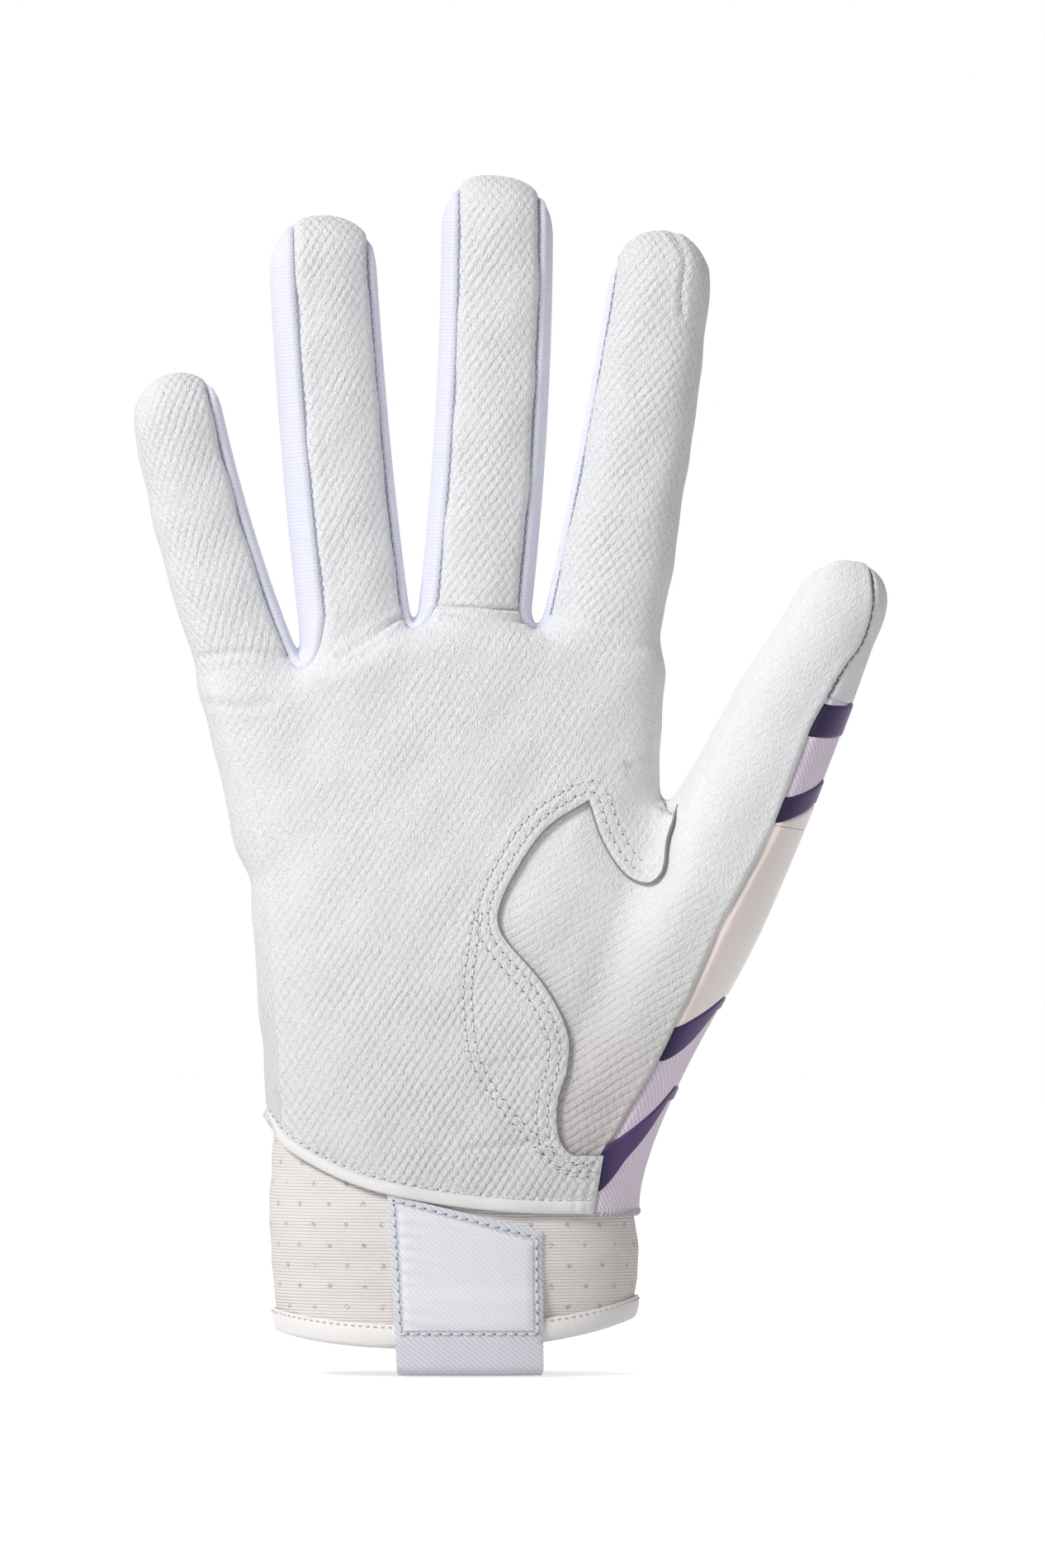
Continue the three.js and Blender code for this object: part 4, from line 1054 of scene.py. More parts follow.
@dataclass(frozen=True)
class Knit(Finish):
    """Stretch knit with fine ribs along the cloth, shaded in its grooves."""

    pitch: float = 0.8
    turn: float = 0.0
    loop: float = 0.6
    relief: float = 0.1

    def ribs(self, graph: Graph, cloth: Socket) -> Socket:
        """Height of the ribs from 0 to 1."""
        inputs = {"Vector": cloth, "Pitch": self.pitch, "Turn": math.radians(self.turn), "Loop": self.loop}
        return graph.group(Rib(), inputs).outputs["Height"]

    def wire(self, graph: Graph, cloth: Socket, body: Socket) -> Looks:
        """Colour, height and roughness of the knit."""
        ribs = self.ribs(graph, cloth)
        grain = graph.group(Grain(), {"Vector": cloth, "Size": 0.4})
        groove = graph.math("SUBTRACT", 1.0, ribs)
        tone = graph.math("MULTIPLY_ADD", grain.outputs["Tint"], 0.35, graph.math("MULTIPLY", groove, 0.65))
        colour = self.toned(graph, tone)
        return colour, graph.math("MULTIPLY", ribs, self.relief), None


@dataclass(frozen=True)
class PiercedKnit(Knit):
    """The cuff's knit, pierced by staggered clusters of tiny holes, whose dark inside is painted shade."""

    # Colour of the painted shade inside the holes, and their size and spacing.
    hole_shade: str = "79716d"
    hole_radius: float = 0.13
    hole_pitch: float = 0.52

    def wire(self, graph: Graph, cloth: Socket, body: Socket) -> Looks:
        """Colour, height and roughness of the pierced knit."""
        colour, height, rough = super().wire(graph, cloth, body)
        cluster = graph.group(Dots(), {"Vector": cloth}).outputs["Mask"]
        tiny = graph.group(Dots(), {"Vector": cloth, "Across": self.hole_pitch, "Up": self.hole_pitch,
                                    "Radius": self.hole_radius}).outputs["Mask"]
        patchy = graph.span(graph.noise(cloth, 1.3, 1.0), 0.4, 0.5)
        holes = graph.math("MULTIPLY", graph.math("MULTIPLY", cluster, tiny), patchy)
        # Painted shade: the holes are coloured dark, with a small dip in height.
        colour = graph.colour(colour, linear(self.hole_shade), holes)
        return colour, graph.math("MULTIPLY_ADD", holes, -0.25, height), rough


@dataclass(frozen=True)
class Woven(Finish):
    """Woven tape with a twill that climbs in diagonals, with painted shade in the gaps between its floats."""

    pitch: float = 0.6
    relief: float = 0.14

    def wire(self, graph: Graph, cloth: Socket, body: Socket) -> Looks:
        """Colour, height and roughness of the tape."""
        twill = graph.group(Twill(), {"Vector": cloth, "Pitch": self.pitch}).outputs["Height"]
        grain = graph.group(Grain(), {"Vector": cloth, "Size": 0.5})
        # Painted shade: the colour darkens in the gaps between the twill's floats.
        tone = graph.math("MULTIPLY_ADD", graph.math("SUBTRACT", 1.0, twill), 0.7,
                          graph.math("MULTIPLY", grain.outputs["Tint"], 0.3))
        colour = self.toned(graph, tone)
        return colour, graph.math("MULTIPLY", twill, self.relief), None


@dataclass(frozen=True)
class Film(Finish):
    """Smooth film heat-set on the cloth, with its colour drifting from the base at the seam to the shade further out
    and faint ribs through it; on the dark film that violet further out is painted sheen.
    """

    drift: float = 9.0
    relief: float = 0.02

    def wire(self, graph: Graph, cloth: Socket, body: Socket) -> Looks:
        """Colour, height and roughness of the film."""
        grain = graph.group(Grain(), {"Vector": cloth, "Size": 0.35})
        reach = graph.math("MULTIPLY_ADD", grain.outputs["Tint"], 4.0, graph.dot(cloth, ACROSS))
        # On the dark film the colour further from the seam is a painted violet sheen over the navy film.
        colour = self.toned(graph, graph.span(reach, 2.0, self.drift))
        ribs = graph.group(Rib(), {"Vector": cloth, "Pitch": 0.7, "Turn": math.radians(35)}).outputs["Height"]
        height = graph.math("MULTIPLY_ADD", ribs, self.relief, graph.math("MULTIPLY", grain.outputs["Height"], 0.02))
        return colour, height, graph.span(grain.outputs["Tint"], 0.2, 0.8, self.rough - 0.05, self.rough + 0.1)


PALM_LEATHER = Leather("palm_leather", "f9fafc", "e7e9eb", "white_leather", 0.66)
FINGER_LEATHER = Leather("finger_leather", "fafbfd", "e9ebed", "white_leather", 0.64, faint=0.7)
# The thumb's leather darkens more towards the wrist, by dirt with painted shade.
THUMB_LEATHER = Leather("thumb_leather", "f7f8fa", "e9eaec", "white_leather", 0.64, width=0.5, depth=0.5, faint=0.2,
                        wear=0.4, cross=0.4, grain=0.32, dirt_and_shade_colour="b3a6a1", dirt_and_shade=0.6)
# A shaded copy of the white leather: darker than the palm's to paint shade on the hem roll, which faces the light.
HEM_LEATHER_SHADED = Finish("hem_leather_shaded", "eeeeee", "dcdcdc", "white_leather", 0.6)
RAW_EDGE = Finish("raw_leather_edge", "a3a5a8", "85878a", "white_leather", 0.9, specular=0.2)
WHITE_KNIT = Knit("fine_white_knit", "efeff8", "dddef0", "white_stretch", 0.75, sheen=0.1, pitch=0.7, turn=90.0,
                  loop=0.9, relief=0.06)
LAVENDER_KNIT = Knit("lavender_rib_knit", "fbeefa", "d8c6df", "lavender_stretch", 0.72, sheen=0.1, pitch=0.75,
                     turn=-38.0, loop=0.9, relief=0.14)
CREAM_FILM = Film("cream_heat_film", "f3e1de", "faf1ee", "cream_overlay", 0.42, coat=0.1)
# The dark film is navy at the seam; the violet it turns to further out is painted sheen.
DARK_FILM = Film("dark_heat_film", "24233e", "5e4976", "dark_film", 0.4, specular=0.15)
LINING = Finish("soft_lining", "e6dedb", "d5ccc8", "cream_overlay", 0.85)
CUFF_KNIT = PiercedKnit("pierced_cuff_knit", "fbf6f3", "d6cdc8", "cuff_knit", 0.85, sheen=0.1, pitch=0.62, turn=90.0,
                        loop=0.5, relief=0.17)
BINDING = Knit("satin_binding", "faf8f7", "e6e2df", "binding", 0.5, sheen=0.1, pitch=0.5, loop=0.5, relief=0.04)
GREY_TAPE = Woven("grey_twill_tape", "eeeef6", "bebfcb", "grey_tape", 0.8, sheen=0.1)
LABEL = Woven("label_weave", "f8f6fb", "dedbe7", "label", 0.75, sheen=0.1, pitch=0.55, relief=0.12)
WHITE_THREAD = Knit("white_thread", "f2f2f4", "d6d7da", "white_leather", 0.6, pitch=0.2, relief=0.03)
# Painted shade: a dark grey line that stands in for the shadow in the dart and in the thumb's cap seam.
DARK_SEAM_SHADE = Finish("dark_seam_shade", "7d7b80", "636166", "white_leather", 0.9, specular=0.2)
# Painted shade: small dark capsules between stitches that stand in for the shadow in needle holes.
NEEDLE_HOLE_SHADE = Finish("needle_hole_shade", "86868a", "707074", "white_leather", 0.95, specular=0.2)
# Painted shade: a grey-violet zigzag that stands in for the shadow inside the finger seams.
SEAM_SHADE = Knit("seam_shade_line", "b1b4ca", "9093ae", "white_stretch", 0.85, pitch=0.2, relief=0.03)
LAVENDER_THREAD = Knit("lavender_thread", "e2dce6", "c0b6c6", "lavender_stretch", 0.65, pitch=0.2, relief=0.03)
BEIGE_THREAD = Knit("beige_thread", "ddd5cf", "b9aea6", "binding", 0.65, pitch=0.2, relief=0.03)


INDEX_DART = ((42.3, 213.4), (43.5, 210.9), (44.7, 208.2), (44.6, 205.4), (44.0, 202.0), (44.1, 197.0))


@dataclass(frozen=True)
class Crease:
    """A soft fold in the leather along a line in the X-Z plane, with a low ridge on both sides of it."""

    line: tuple[Place, ...]
    depth: float
    width: float
    RIDGE = 0.35
    RIDGE_AT = 2.2

    def at(self, p: Array) -> Array:
        """Height of the fold at places, which fades out round the glove's edge."""
        gap = gap_to(p[..., [0, 2]], Line(self.line).at(shares(24)))
        ridge = self.RIDGE * hump(gap, self.RIDGE_AT * self.width, self.width)
        return self.depth * (ridge - hump(gap, 0, self.width)) * smooth((-p[..., 1] - 1) / 5)


class Relief:
    """The leather's uneven surface: a few long waves and the folds that bending left."""

    WAVES = ((0.11, 0.31, 0.17, 0.4), (0.09, -0.23, 0.36, 1.9), (0.07, 0.52, -0.29, 2.6), (0.06, 0.12, 0.61, 0.9))
    CREASES = (
        Crease(((-22.4, 130.6), (-16.5, 134.2), (-10.4, 138.4)), 0.8, 0.55),
        Crease(((-27, 127), (-20, 129.6), (-15, 133)), 0.25, 0.9),
        Crease(((-3.2, 139.8), (4, 139.6), (11.6, 139.7)), 0.8, 0.5),
        Crease(((-2.4, 138.1), (6, 138.2), (13.2, 137.4)), 0.7, 0.5),
        Crease(((-50, 130.4), (-41.5, 131.3), (-33, 130.2)), 0.35, 0.7),
        Crease(((-49.5, 121.5), (-42, 120.6), (-35.5, 121.6)), 0.3, 0.9),
        Crease(((28.7, 107), (33.5, 108.8), (38.8, 110.6)), 0.2, 0.6),
        Crease(((18, 134), (28, 131.5), (40, 133)), 0.3, 1.0),
        Crease(((-44, 118), (-36, 96), (-31, 76)), 0.25, 2.4),
        Crease(((2, 34.6), (9, 35.2), (18, 36.4)), 0.35, 0.7),
        Crease(((6, 51), (11, 51.6), (17, 52.4)), 0.25, 0.6),
        Crease(INDEX_DART, 0.35, 0.6),
    )

    def at(self, p: Array) -> Array:
        """Height of waves and folds at places."""
        x, z = p[..., 0], p[..., 2]
        waves = sum(height * np.sin(kx * x + kz * z + start) for height, kx, kz, start in self.WAVES)
        return waves + sum(crease.at(p) for crease in self.CREASES)


def hand_over(piece: bpy.types.Object, nodes: tuple[str, ...]) -> None:
    """Hides the nodes that a piece stands in for, and logs its count of faces."""
    if nodes:
        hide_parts(*nodes)
    LOG.info("%s: %d faces", piece.name, len(piece.data.polygons))


def seam_dip(distance: Array) -> Array:
    """Height of leather beside a seam: it dives in at the edge behind a low roll."""
    return -0.5 * hump(distance, 0, 0.75) + 0.14 * hump(distance, 2.0, 1.1)


def rolled_edge(distance: Array) -> Array:
    """Height of leather whose edge lies on top: a roll behind a sharp dip."""
    return 0.25 * hump(distance, 1.2, 1.2) - 0.45 * hump(distance, 0, 0.5)


def tucked(distance: Array, depth: float = 0.5) -> Array:
    """Height of cloth beside a seam that draws it in."""
    return -depth * hump(distance, 0, 0.8)


def sunk(reach: Array, depth: float, start: float, span: float = 1.4) -> Array:
    """Height of cloth that comes up from under a seam, over a span from a start beside the seam."""
    return -depth * (1 - smooth((reach - start) / span))


TUCK_COLUMNS = 4
STRIP_TUCK = 0.08
STRIP_COLUMNS = 30
FILM_WALL = 0.3


def with_tuck(tuck: float, onward: Array) -> Array:
    """Shares that start under a seam, at a share below zero, and go on from the seam."""
    return np.concatenate([np.linspace(-tuck, 0, TUCK_COLUMNS + 1)[:-1], onward])


def from_seam(points: Array, axis: int) -> Array:
    """Distance along one axis of a grid from the seam that its tuck ends at."""
    reach = run(points, axis)
    return reach - np.take(reach, [TUCK_COLUMNS], axis)


def strip_shares() -> Array:
    """Shares across a stretch strip, which lie closer beside the leather."""
    return with_tuck(STRIP_TUCK, shares(STRIP_COLUMNS) ** 1.25)


def strip_height(reach: Array, axis: int) -> Array:
    """Height of a stretch strip at distances from the leather's seam: under it, a bead, tucked at the far end."""
    far = np.take(reach, [-1], axis) - reach
    return sunk(reach, 1.3, -0.4, 1.1) + 0.42 * hump(reach, 1.35, 0.65) + tucked(far)


def cloth_on(points: Array, middle: Place) -> Array:
    """Cloth coordinates from distances over a grid, with its lower middle at a place."""
    across, up = run(points, 1), run(points, 0)
    across = across - across[:, points.shape[1] // 2, None] + middle[0]
    return np.stack([across, up + middle[1]], -1)


def unrolled(seam: Array, wrap: Array, way: int) -> Array:
    """Cloth coordinates of a wrap that goes on sideways from a seam.

    Args:
        seam: Cloth coordinates along the seam, rows by 2.
        wrap: Places, rows by columns by 3.
        way: 1 to the right, -1 to the left.

    Returns:
        Cloth coordinates, rows by columns by 2.
    """
    across = seam[:, :1] + way * run(wrap, 1)
    return np.stack([across, np.broadcast_to(seam[:, 1:], across.shape)], -1)


def film_patch(places: Array, sides: tuple[Side, ...], depth: float, start: float) -> Patch:
    """A film that thins out at its open sides and sinks with the cloth under the seam on its left.

    Args:
        places: Places, rows by columns by 3.
        sides: Its open sides.
        depth: How far it sinks.
        start: Where it starts to come up, from the seam.

    Returns:
        The patch.
    """
    reach = run(places, 1)
    height = FILM_WALL * smooth(from_sides(places, *sides) / 0.5) + sunk(reach, depth, start)
    return Patch(places, np.stack([reach, run(places, 0)], -1), height)


@dataclass
class Part:
    """A sub-assembly, which cuts and sews its pieces and hides the nodes that each stands in for. The hand carries
    them.
    """

    cutter: Cutter

    def carry(self, piece: bpy.types.Object) -> None:
        """Lets a piece ride on the hand."""
        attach(piece, "hand")

    def panel(self, name: str, patches: list[Patch], wall: float, finishes: list[Finish], *nodes: str) -> None:
        """Cuts a panel in place of some nodes."""
        piece = self.cutter.panel(name, patches, wall, finishes)
        self.carry(piece)
        hand_over(piece, nodes)

    def sewn(self, name: str, lines: list[Array], heights: list[Array], stitch: Stitch, finish: Finish) -> None:
        """Sews stitches along lines."""
        piece = self.cutter.sewn(name, lines, heights, stitch, finish)
        self.carry(piece)
        hand_over(piece, ())


@dataclass
class DigitPart(Part):
    """A sub-assembly on a digit."""

    digit: Digit
    relief: Relief
    BEND_SPAN = (0.5, 14.0)

    def carry(self, piece: bpy.types.Object) -> None:
        """Bakes a piece's transform into its mesh; the ends of a stretch beyond the digit's bending line are worked
        out but not used.
        """
        digit, zero = self.digit, np.zeros(1)
        ends = [digit.place(zero + (digit.bend_at + s), zero, zero)[0] * MM for s in self.BEND_SPAN]
        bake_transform(piece)

    def leather_patch(self, places: Array, cloth: Array, seams: list[Side], rise: Array | float = 0.0) -> Patch:
        """A patch of uneven leather with a rise of its own, drawn in along some of its sides."""
        return Patch(places, cloth, self.relief.at(places) + rise + seam_dip(from_sides(places, *seams)))


@dataclass
class Finger(DigitPart):
    """A finger: leather front, stretch back and stretch strips beside its neighbours, left and right."""

    strips: tuple[str | None, str | None]
    leather: float = 0.8
    stretch: float = 0.7
    rows_up: int = 120
    rows_dome: int = 18
    dart: tuple[Place, ...] = ()
    # The zigzag of painted seam shade, its height under the leather's edge, and the top rows left without it.
    seam_shade_zigzag: Stitch = Stitch(0.95, 1.2, 0.12, 0.03, turn=32.0, zigzag=True)
    seam_shade_height: float = -0.42
    rows_without_shade: int = 6
    # The dark zigzag of painted shade along the dart.
    dart_shade_line: Stitch = Stitch(0.8, 0.9, 0.07, 0.0, turn=25.0, zigzag=True)

    def __post_init__(self) -> None:
        """Works out the rows up the tube and over its dome."""
        self.t, self.angle = self.digit.rows(self.rows_up, self.rows_dome)

    def build(self) -> None:
        """Builds the front, the back, the strips, a zigzag of painted seam shade along each strip's seam, and a dark
        line of painted shade along the dart.
        """
        digit, name = self.digit, self.digit.body
        self.panel(f"{name}_front_leather", self.front_patches(), self.leather, [FINGER_LEATHER, RAW_EDGE],
                   f"{name}_front")
        places = digit.face_place(self.t, self.angle, np.linspace(*digit.back, 30)[None], Face.BACK)
        height = tucked(from_sides(places, Side.LEFT, Side.RIGHT, Side.TOP))
        self.panel(f"{name}_back_stretch", [Patch(places, cloth_on(places, (0, 0)), height)], self.stretch,
                   [WHITE_KNIT], f"{name}_back")
        for k, node in enumerate(self.strips):
            if node:
                self.build_strip(node, k)
        # The dart's seam shadow is painted as a dark zigzag.
        if self.dart:
            line = self.cutter.form.lift(Line(self.dart).at(shares(30)), Face.FRONT)
            self.sewn(f"{name}_dart_seam_shade", [line], [self.relief.at(line)], self.dart_shade_line, DARK_SEAM_SHADE)

    def front_patches(self) -> list[Patch]:
        """The leather front, with a wrap round each side that has no strip."""
        digit = self.digit
        places = digit.face_place(self.t, self.angle, np.linspace(*digit.front, 38)[None], Face.FRONT)
        cloth = cloth_on(places, digit.root)
        seams = [Side.TOP] + [side for side, strip in zip((Side.LEFT, Side.RIGHT), self.strips) if strip]
        patches = [self.leather_patch(places, cloth, seams)]
        for k, strip in enumerate(self.strips):
            if strip is None:
                wrap = digit.side_place(self.t, self.angle, digit.front[k], digit.back[k], shares(26)[None])
                own = unrolled(cloth[:, -k], wrap, 2 * k - 1)
                patches.append(self.leather_patch(wrap, own, [Side.RIGHT, Side.TOP]))
        return patches

    def build_strip(self, node: str, k: int) -> None:
        """Builds the stretch strip of one side and a zigzag of painted seam shade along its front seam.

        Args:
            node: The node it stands for.
            k: 0 for the left side, 1 for the right.
        """
        digit = self.digit
        places = digit.side_place(self.t, self.angle, digit.front[k], digit.back[k], strip_shares()[None])
        reach = from_seam(places, 1)
        height = mix(-0.5, strip_height(reach, 1), smooth(from_sides(places, Side.TOP) / 4))
        patch = Patch(places, np.stack([reach, run(places, 0)], -1), height)
        self.panel(node.replace("side", "strip"), [patch], self.stretch, [WHITE_KNIT], node)
        t, angle = self.t[:-self.rows_without_shade], self.angle[:-self.rows_without_shade]
        seam = digit.face_place(t, angle, np.full((1, 1), digit.front[k]), Face.FRONT)[:, 0]
        # A zigzag of painted shadow inside the seam beside the leather's edge.
        self.sewn(f"{node}_stitches", [seam], [self.seam_shade_height], self.seam_shade_zigzag, SEAM_SHADE)


@dataclass(frozen=True)
class Band:
    """A dark band of the thumb: where its edges leave the seam, along the thumb, and how far it climbs from there."""

    node: str
    low: float
    high: float
    rise: float


@dataclass
class Thumb(DigitPart):
    """The thumb: a leather front round its inner side, a ribbed back with dark bands, and a leather cap."""

    seam: Course = Course(((0, 0.56), (19, 0.48), (29.4, 0.558), (35, 0.63), (39.5, 0.76), (43, 0.755), (46.8, 0.59),
                           (49.4, 0.385), (54.4, 0.05)))
    cap_from: float = 27.4
    upper_band: Band = Band("thumb_band_upper", 19.4, 26.4, 2.6)
    lower_band: Band = Band("thumb_band_lower", 1.4, 6.6, 6.5)
    edge_share: float = 0.34
    band_back: float = 0.02
    leather: float = 0.8
    stretch: float = 0.7
    tuck: float = 0.07
    rows_up: int = 90
    rows_back: int = 60
    rows_cap: int = 40
    rows_dome: int = 18
    # The dark zigzag of painted shade along the cap's seam, and its height.
    seam_shade_zigzag: Stitch = Stitch(0.9, 1.05, 0.13, 0.03, turn=32.0, zigzag=True)
    seam_shade_height: float = -0.32

    def seam_at(self, t: Array, angle: Array) -> Array:
        """Shares of the front's outer seam at rows up the tube and on over the dome."""
        return self.seam.at(t * self.digit.straight + angle / (math.pi / 2) * self.digit.dome)

    def build(self) -> None:
        """Builds the front, the back, the cap, the films and a dark zigzag of painted seam shade along the cap's seam.
        """
        digit = self.digit
        t, angle = digit.rows(self.rows_up, self.rows_dome)
        self.panel("thumb_front_leather", self.front_patches(t, angle), self.leather, [THUMB_LEATHER, RAW_EDGE],
                   "thumb_front")
        split = self.cap_from / digit.straight
        low = shares(self.rows_back)[:, None] * split
        self.panel("thumb_back_rib", self.back_patches(low, np.zeros_like(low)), self.stretch, [LAVENDER_KNIT],
                   "thumb_back")
        high = np.concatenate([mix(split, 1, shares(self.rows_cap))[:, None], np.ones((self.rows_dome, 1))])
        over = np.concatenate([np.zeros((self.rows_cap, 1)), angle[-self.rows_dome:]])
        self.panel("thumb_cap_leather", self.back_patches(high, over), self.leather, [THUMB_LEATHER], "thumb_cap")
        foot = digit.side_place(*np.zeros((2, 1, 1)), self.seam.at(np.ones((1, 1))), self.band_back, self.way_round)
        low, high = digit.local(foot)[0] + 0.05, self.climb(self.lower_band.low, self.lower_band.rise)
        self.build_film("thumb_overlay_top", low, high, CREAM_FILM)
        for band in (self.upper_band, self.lower_band):
            low, high = (self.climb(start, band.rise) for start in (band.low, band.high))
            self.build_film(f"{band.node}_film", low, high, DARK_FILM, band.node)
        # A dark zigzag of painted shadow along the cap's seam.
        line = digit.face_place(t, angle, self.seam_at(t, angle), Face.FRONT)[t[:, 0] >= split, 0]
        self.sewn("thumb_seam_shade", [line], [self.seam_shade_height], self.seam_shade_zigzag, DARK_SEAM_SHADE)

    def front_patches(self, t: Array, angle: Array) -> list[Patch]:
        """The leather on the front and round the inner side, up to the back's seam."""
        digit = self.digit
        places = digit.face_place(t, angle, mix(digit.front[0], self.seam_at(t, angle), shares(40)[None]), Face.FRONT)
        cloth = digit.cloth(places)
        inner = digit.side_place(t, angle, digit.front[0], digit.back[0], shares(26)[None])
        return [self.leather_patch(places, cloth, [Side.TOP], rolled_edge(from_sides(places, Side.RIGHT))),
                self.leather_patch(inner, unrolled(cloth[:, 0], inner, -1), [Side.RIGHT, Side.TOP])]

    def back_patches(self, t: Array, angle: Array) -> list[Patch]:
        """The outer side and the back over some rows, tucked under the front's edge."""
        digit = self.digit
        v = with_tuck(self.tuck, shares(34))
        side = digit.side_place(t, angle, self.seam_at(t, angle), digit.back[1], v[None])
        behind = digit.face_place(t, angle, np.linspace(digit.back[1], digit.back[0], 30)[None], Face.BACK)
        reach = from_seam(side, 1)
        across = run(behind, 1) + reach[:, -1:]
        heights = sunk(reach, 1.1, -0.4), tucked(from_sides(behind, Side.RIGHT))
        return [Patch(p, np.stack([u, run(p, 0)], -1), height - 0.35 * hump(from_sides(p, Side.BOTTOM), 0, 0.5))
                for p, u, height in zip((side, behind), (reach, across), heights)]

    @property
    def way_round(self) -> Array:
        """Shares of the way round from just under the seam to the back, one row."""
        return mix(-0.03, 1, shares(56))[None]

    def climb(self, start: float, rise: float) -> Array:
        """Distances along the axis of an edge that climbs from its start at the seam to the thumb's edge."""
        return start + rise * np.minimum(self.way_round / self.edge_share, 1)

    def build_film(self, name: str, low: Array, high: Array, finish: Finish, *nodes: str) -> None:
        """Builds a film between two edges round the thumb's outer side.

        Args:
            name: Name of the piece.
            low: Distances of its lower edge along the axis.
            high: Distances of its upper edge.
            finish: Its finish.
            nodes: The nodes it stands for.
        """
        s = mix(low, high, shares(14)[:, None])
        zero = np.zeros_like(s)
        places = self.digit.side_place(zero, zero, self.seam.at(s), self.band_back, self.way_round, s)
        sides = (Side.TOP, Side.RIGHT) if finish is CREAM_FILM else (Side.TOP, Side.RIGHT, Side.BOTTOM)
        self.panel(name, [film_patch(places, sides, 1.0, 0.4)], FILM_WALL, [finish], *nodes)


def beside(line: Array, distance: float) -> Array:
    """A line in a plane moved to its left by a distance, along its normal at each place."""
    way = unit(np.gradient(line, axis=0))
    return line + distance * np.stack([-way[:, 1], way[:, 0]], -1)


class Seams:
    """The seam lines that the hand's panels share, settled on the form."""

    FOOT: Place = (26.9, 22.3)
    STEP: Place = (28.7, 33.4)
    NOTCH: Place = (26.0, 102.6)
    THUMB_CROTCH: Place = (42.6, 99.4)
    HEM = Course(((-37, 40), (-32.7, 34.8), (-20, 28.2), (-5, 24.6), (11.6, 22.7), FOOT))
    BACK_HEM = Course(((-37, 40), (24, 22.3)))
    CUT = Line((STEP, (22.6, 33.6), (20, 37), (19.8, 44), (21.6, 50), (21.8, 57), (17.1, 66.5), (9.1, 76.1),
                (8.2, 80.5), (11, 87.5), (17.6, 97), NOTCH))
    UNDER_CUT = Line(((25.5, 30), (18, 30.8), (16.2, 37), (16.2, 44), (18, 50), (18.2, 56), (14.2, 64.5),
                      (6, 73.5), (4.6, 80.5), (7.6, 89), (14.7, 99.5), (23, 106)))
    TONGUE = Line((NOTCH, (28.5, 95.2), (33, 88.2), (37.5, 86.4), (40, 88.5), (41.1, 94.6), THUMB_CROTCH))
    REINFORCED = Line(((4.4, 80.5), (3.4, 74.2), (2.4, 66.5), (2.6, 60.2), (3.7, 52.4), (6.3, 47.4), (9.4, 42.9),
                       (13.9, 37.9), (17.1, 34.7), (21.6, 31.5), (27.5, 31.3)))
    SIDE = ((34.5, 43.2), (39.4, 51.3), (42.6, 57.7), (47.6, 68.5), (52.4, 79))
    VALLEY = ((24, 22.3), (28.5, 55), (36.5, 90), THUMB_CROTCH)
    CROTCHES: tuple[Place, ...] = ((-28.6, 128.6), (-8.7, 136.6), (14.2, 136.4))
    SADDLE_Y = -5.0
    SADDLE_LEAN = 1.7
    SADDLE_FLAT = 3.0
    ULNAR_WRAP = 26.0
    RADIAL_WRAP = 30.0
    THUMB_SHARE = 0.56
    FINGER_COLUMNS = 27
    CROTCH_COLUMNS = 17
    FOOT_ROWS = 16
    CUT_ROWS = 140
    TONGUE_ROWS = 60
    SIDE_ROWS = 110
    UPPER_ROWS = 44
    PALM_CORNERS: tuple[Place, ...] = ((42.6, 135.0), (-60.0, 135.0), (-60.0, 22.0))
    RAY = 20.0
    HALVINGS = 30

    def __init__(self, form: Form) -> None:
        """Keeps the form and works out the lines that several panels use."""
        self.form = form
        foot, step = np.array(self.FOOT), np.array(self.STEP)
        self.foot_line = mix(foot, step, shares(self.FOOT_ROWS)[:, None])
        self.cut = np.concatenate([self.foot_line, self.CUT.at(shares(self.CUT_ROWS))[1:]])
        self.tongue = self.TONGUE.at(shares(self.TONGUE_ROWS))
        self.edge = np.concatenate([self.cut, self.tongue[1:]])
        self.split = self.bend(form.fingers[-1], np.zeros(1), Face.FRONT)[0]
        self.palm_ring = np.concatenate([self.edge, np.array(self.PALM_CORNERS)])

    def bend(self, digit: Digit, share: Array, face: Face) -> Array:
        """Places on a digit's bending line."""
        zero = np.zeros_like(share)
        return self.form.settle(digit.face_place(zero, zero, share, face))

    def bend_side(self, digit: Digit, front: float, back: float, v: Array) -> Array:
        """Places on a digit's bending line round one of its sides."""
        zero = np.zeros_like(v)
        return self.form.settle(digit.side_place(zero, zero, front, back, v))

    def crotch(self, k: int, v: Array) -> Array:
        """The hollow between two fingers: parabolas from one bending line through the low point to the next.

        Args:
            k: Number of the hollow from the little finger.
            v: Shares of the way from the front seam to the back seam.

        Returns:
            Places, shares by columns by 3.
        """
        left, right = self.form.fingers[k:k + 2]
        start = self.bend_side(left, left.front[1], left.back[1], v)
        end = self.bend_side(right, right.front[0], right.back[0], v)
        low = (start + end) / 2
        low[:, 0], low[:, 2] = self.CROTCHES[k]
        pull = 2 * low - (start + end) / 2
        t = shares(self.CROTCH_COLUMNS)[None, :, None]
        line = (1 - t) ** 2 * start[:, None] + 2 * t * (1 - t) * pull[:, None] + t ** 2 * end[:, None]
        return self.form.settle(line)

    def knuckles(self, face: Face, index_end: float) -> Array:
        """Bending lines and crotches from the little finger to a share of the index finger."""
        parts = []
        is_front = face is Face.FRONT
        last = len(self.form.fingers) - 1
        for k, finger in enumerate(self.form.fingers):
            left, right = finger.front if is_front else finger.back
            right = index_end if k == last else right
            parts.append(self.bend(finger, np.linspace(left, right, self.FINGER_COLUMNS), face))
            if k < last:
                parts.append(self.crotch(k, np.array([0.0 if is_front else 1.0]))[0, 1:-1])
        return np.concatenate(parts)

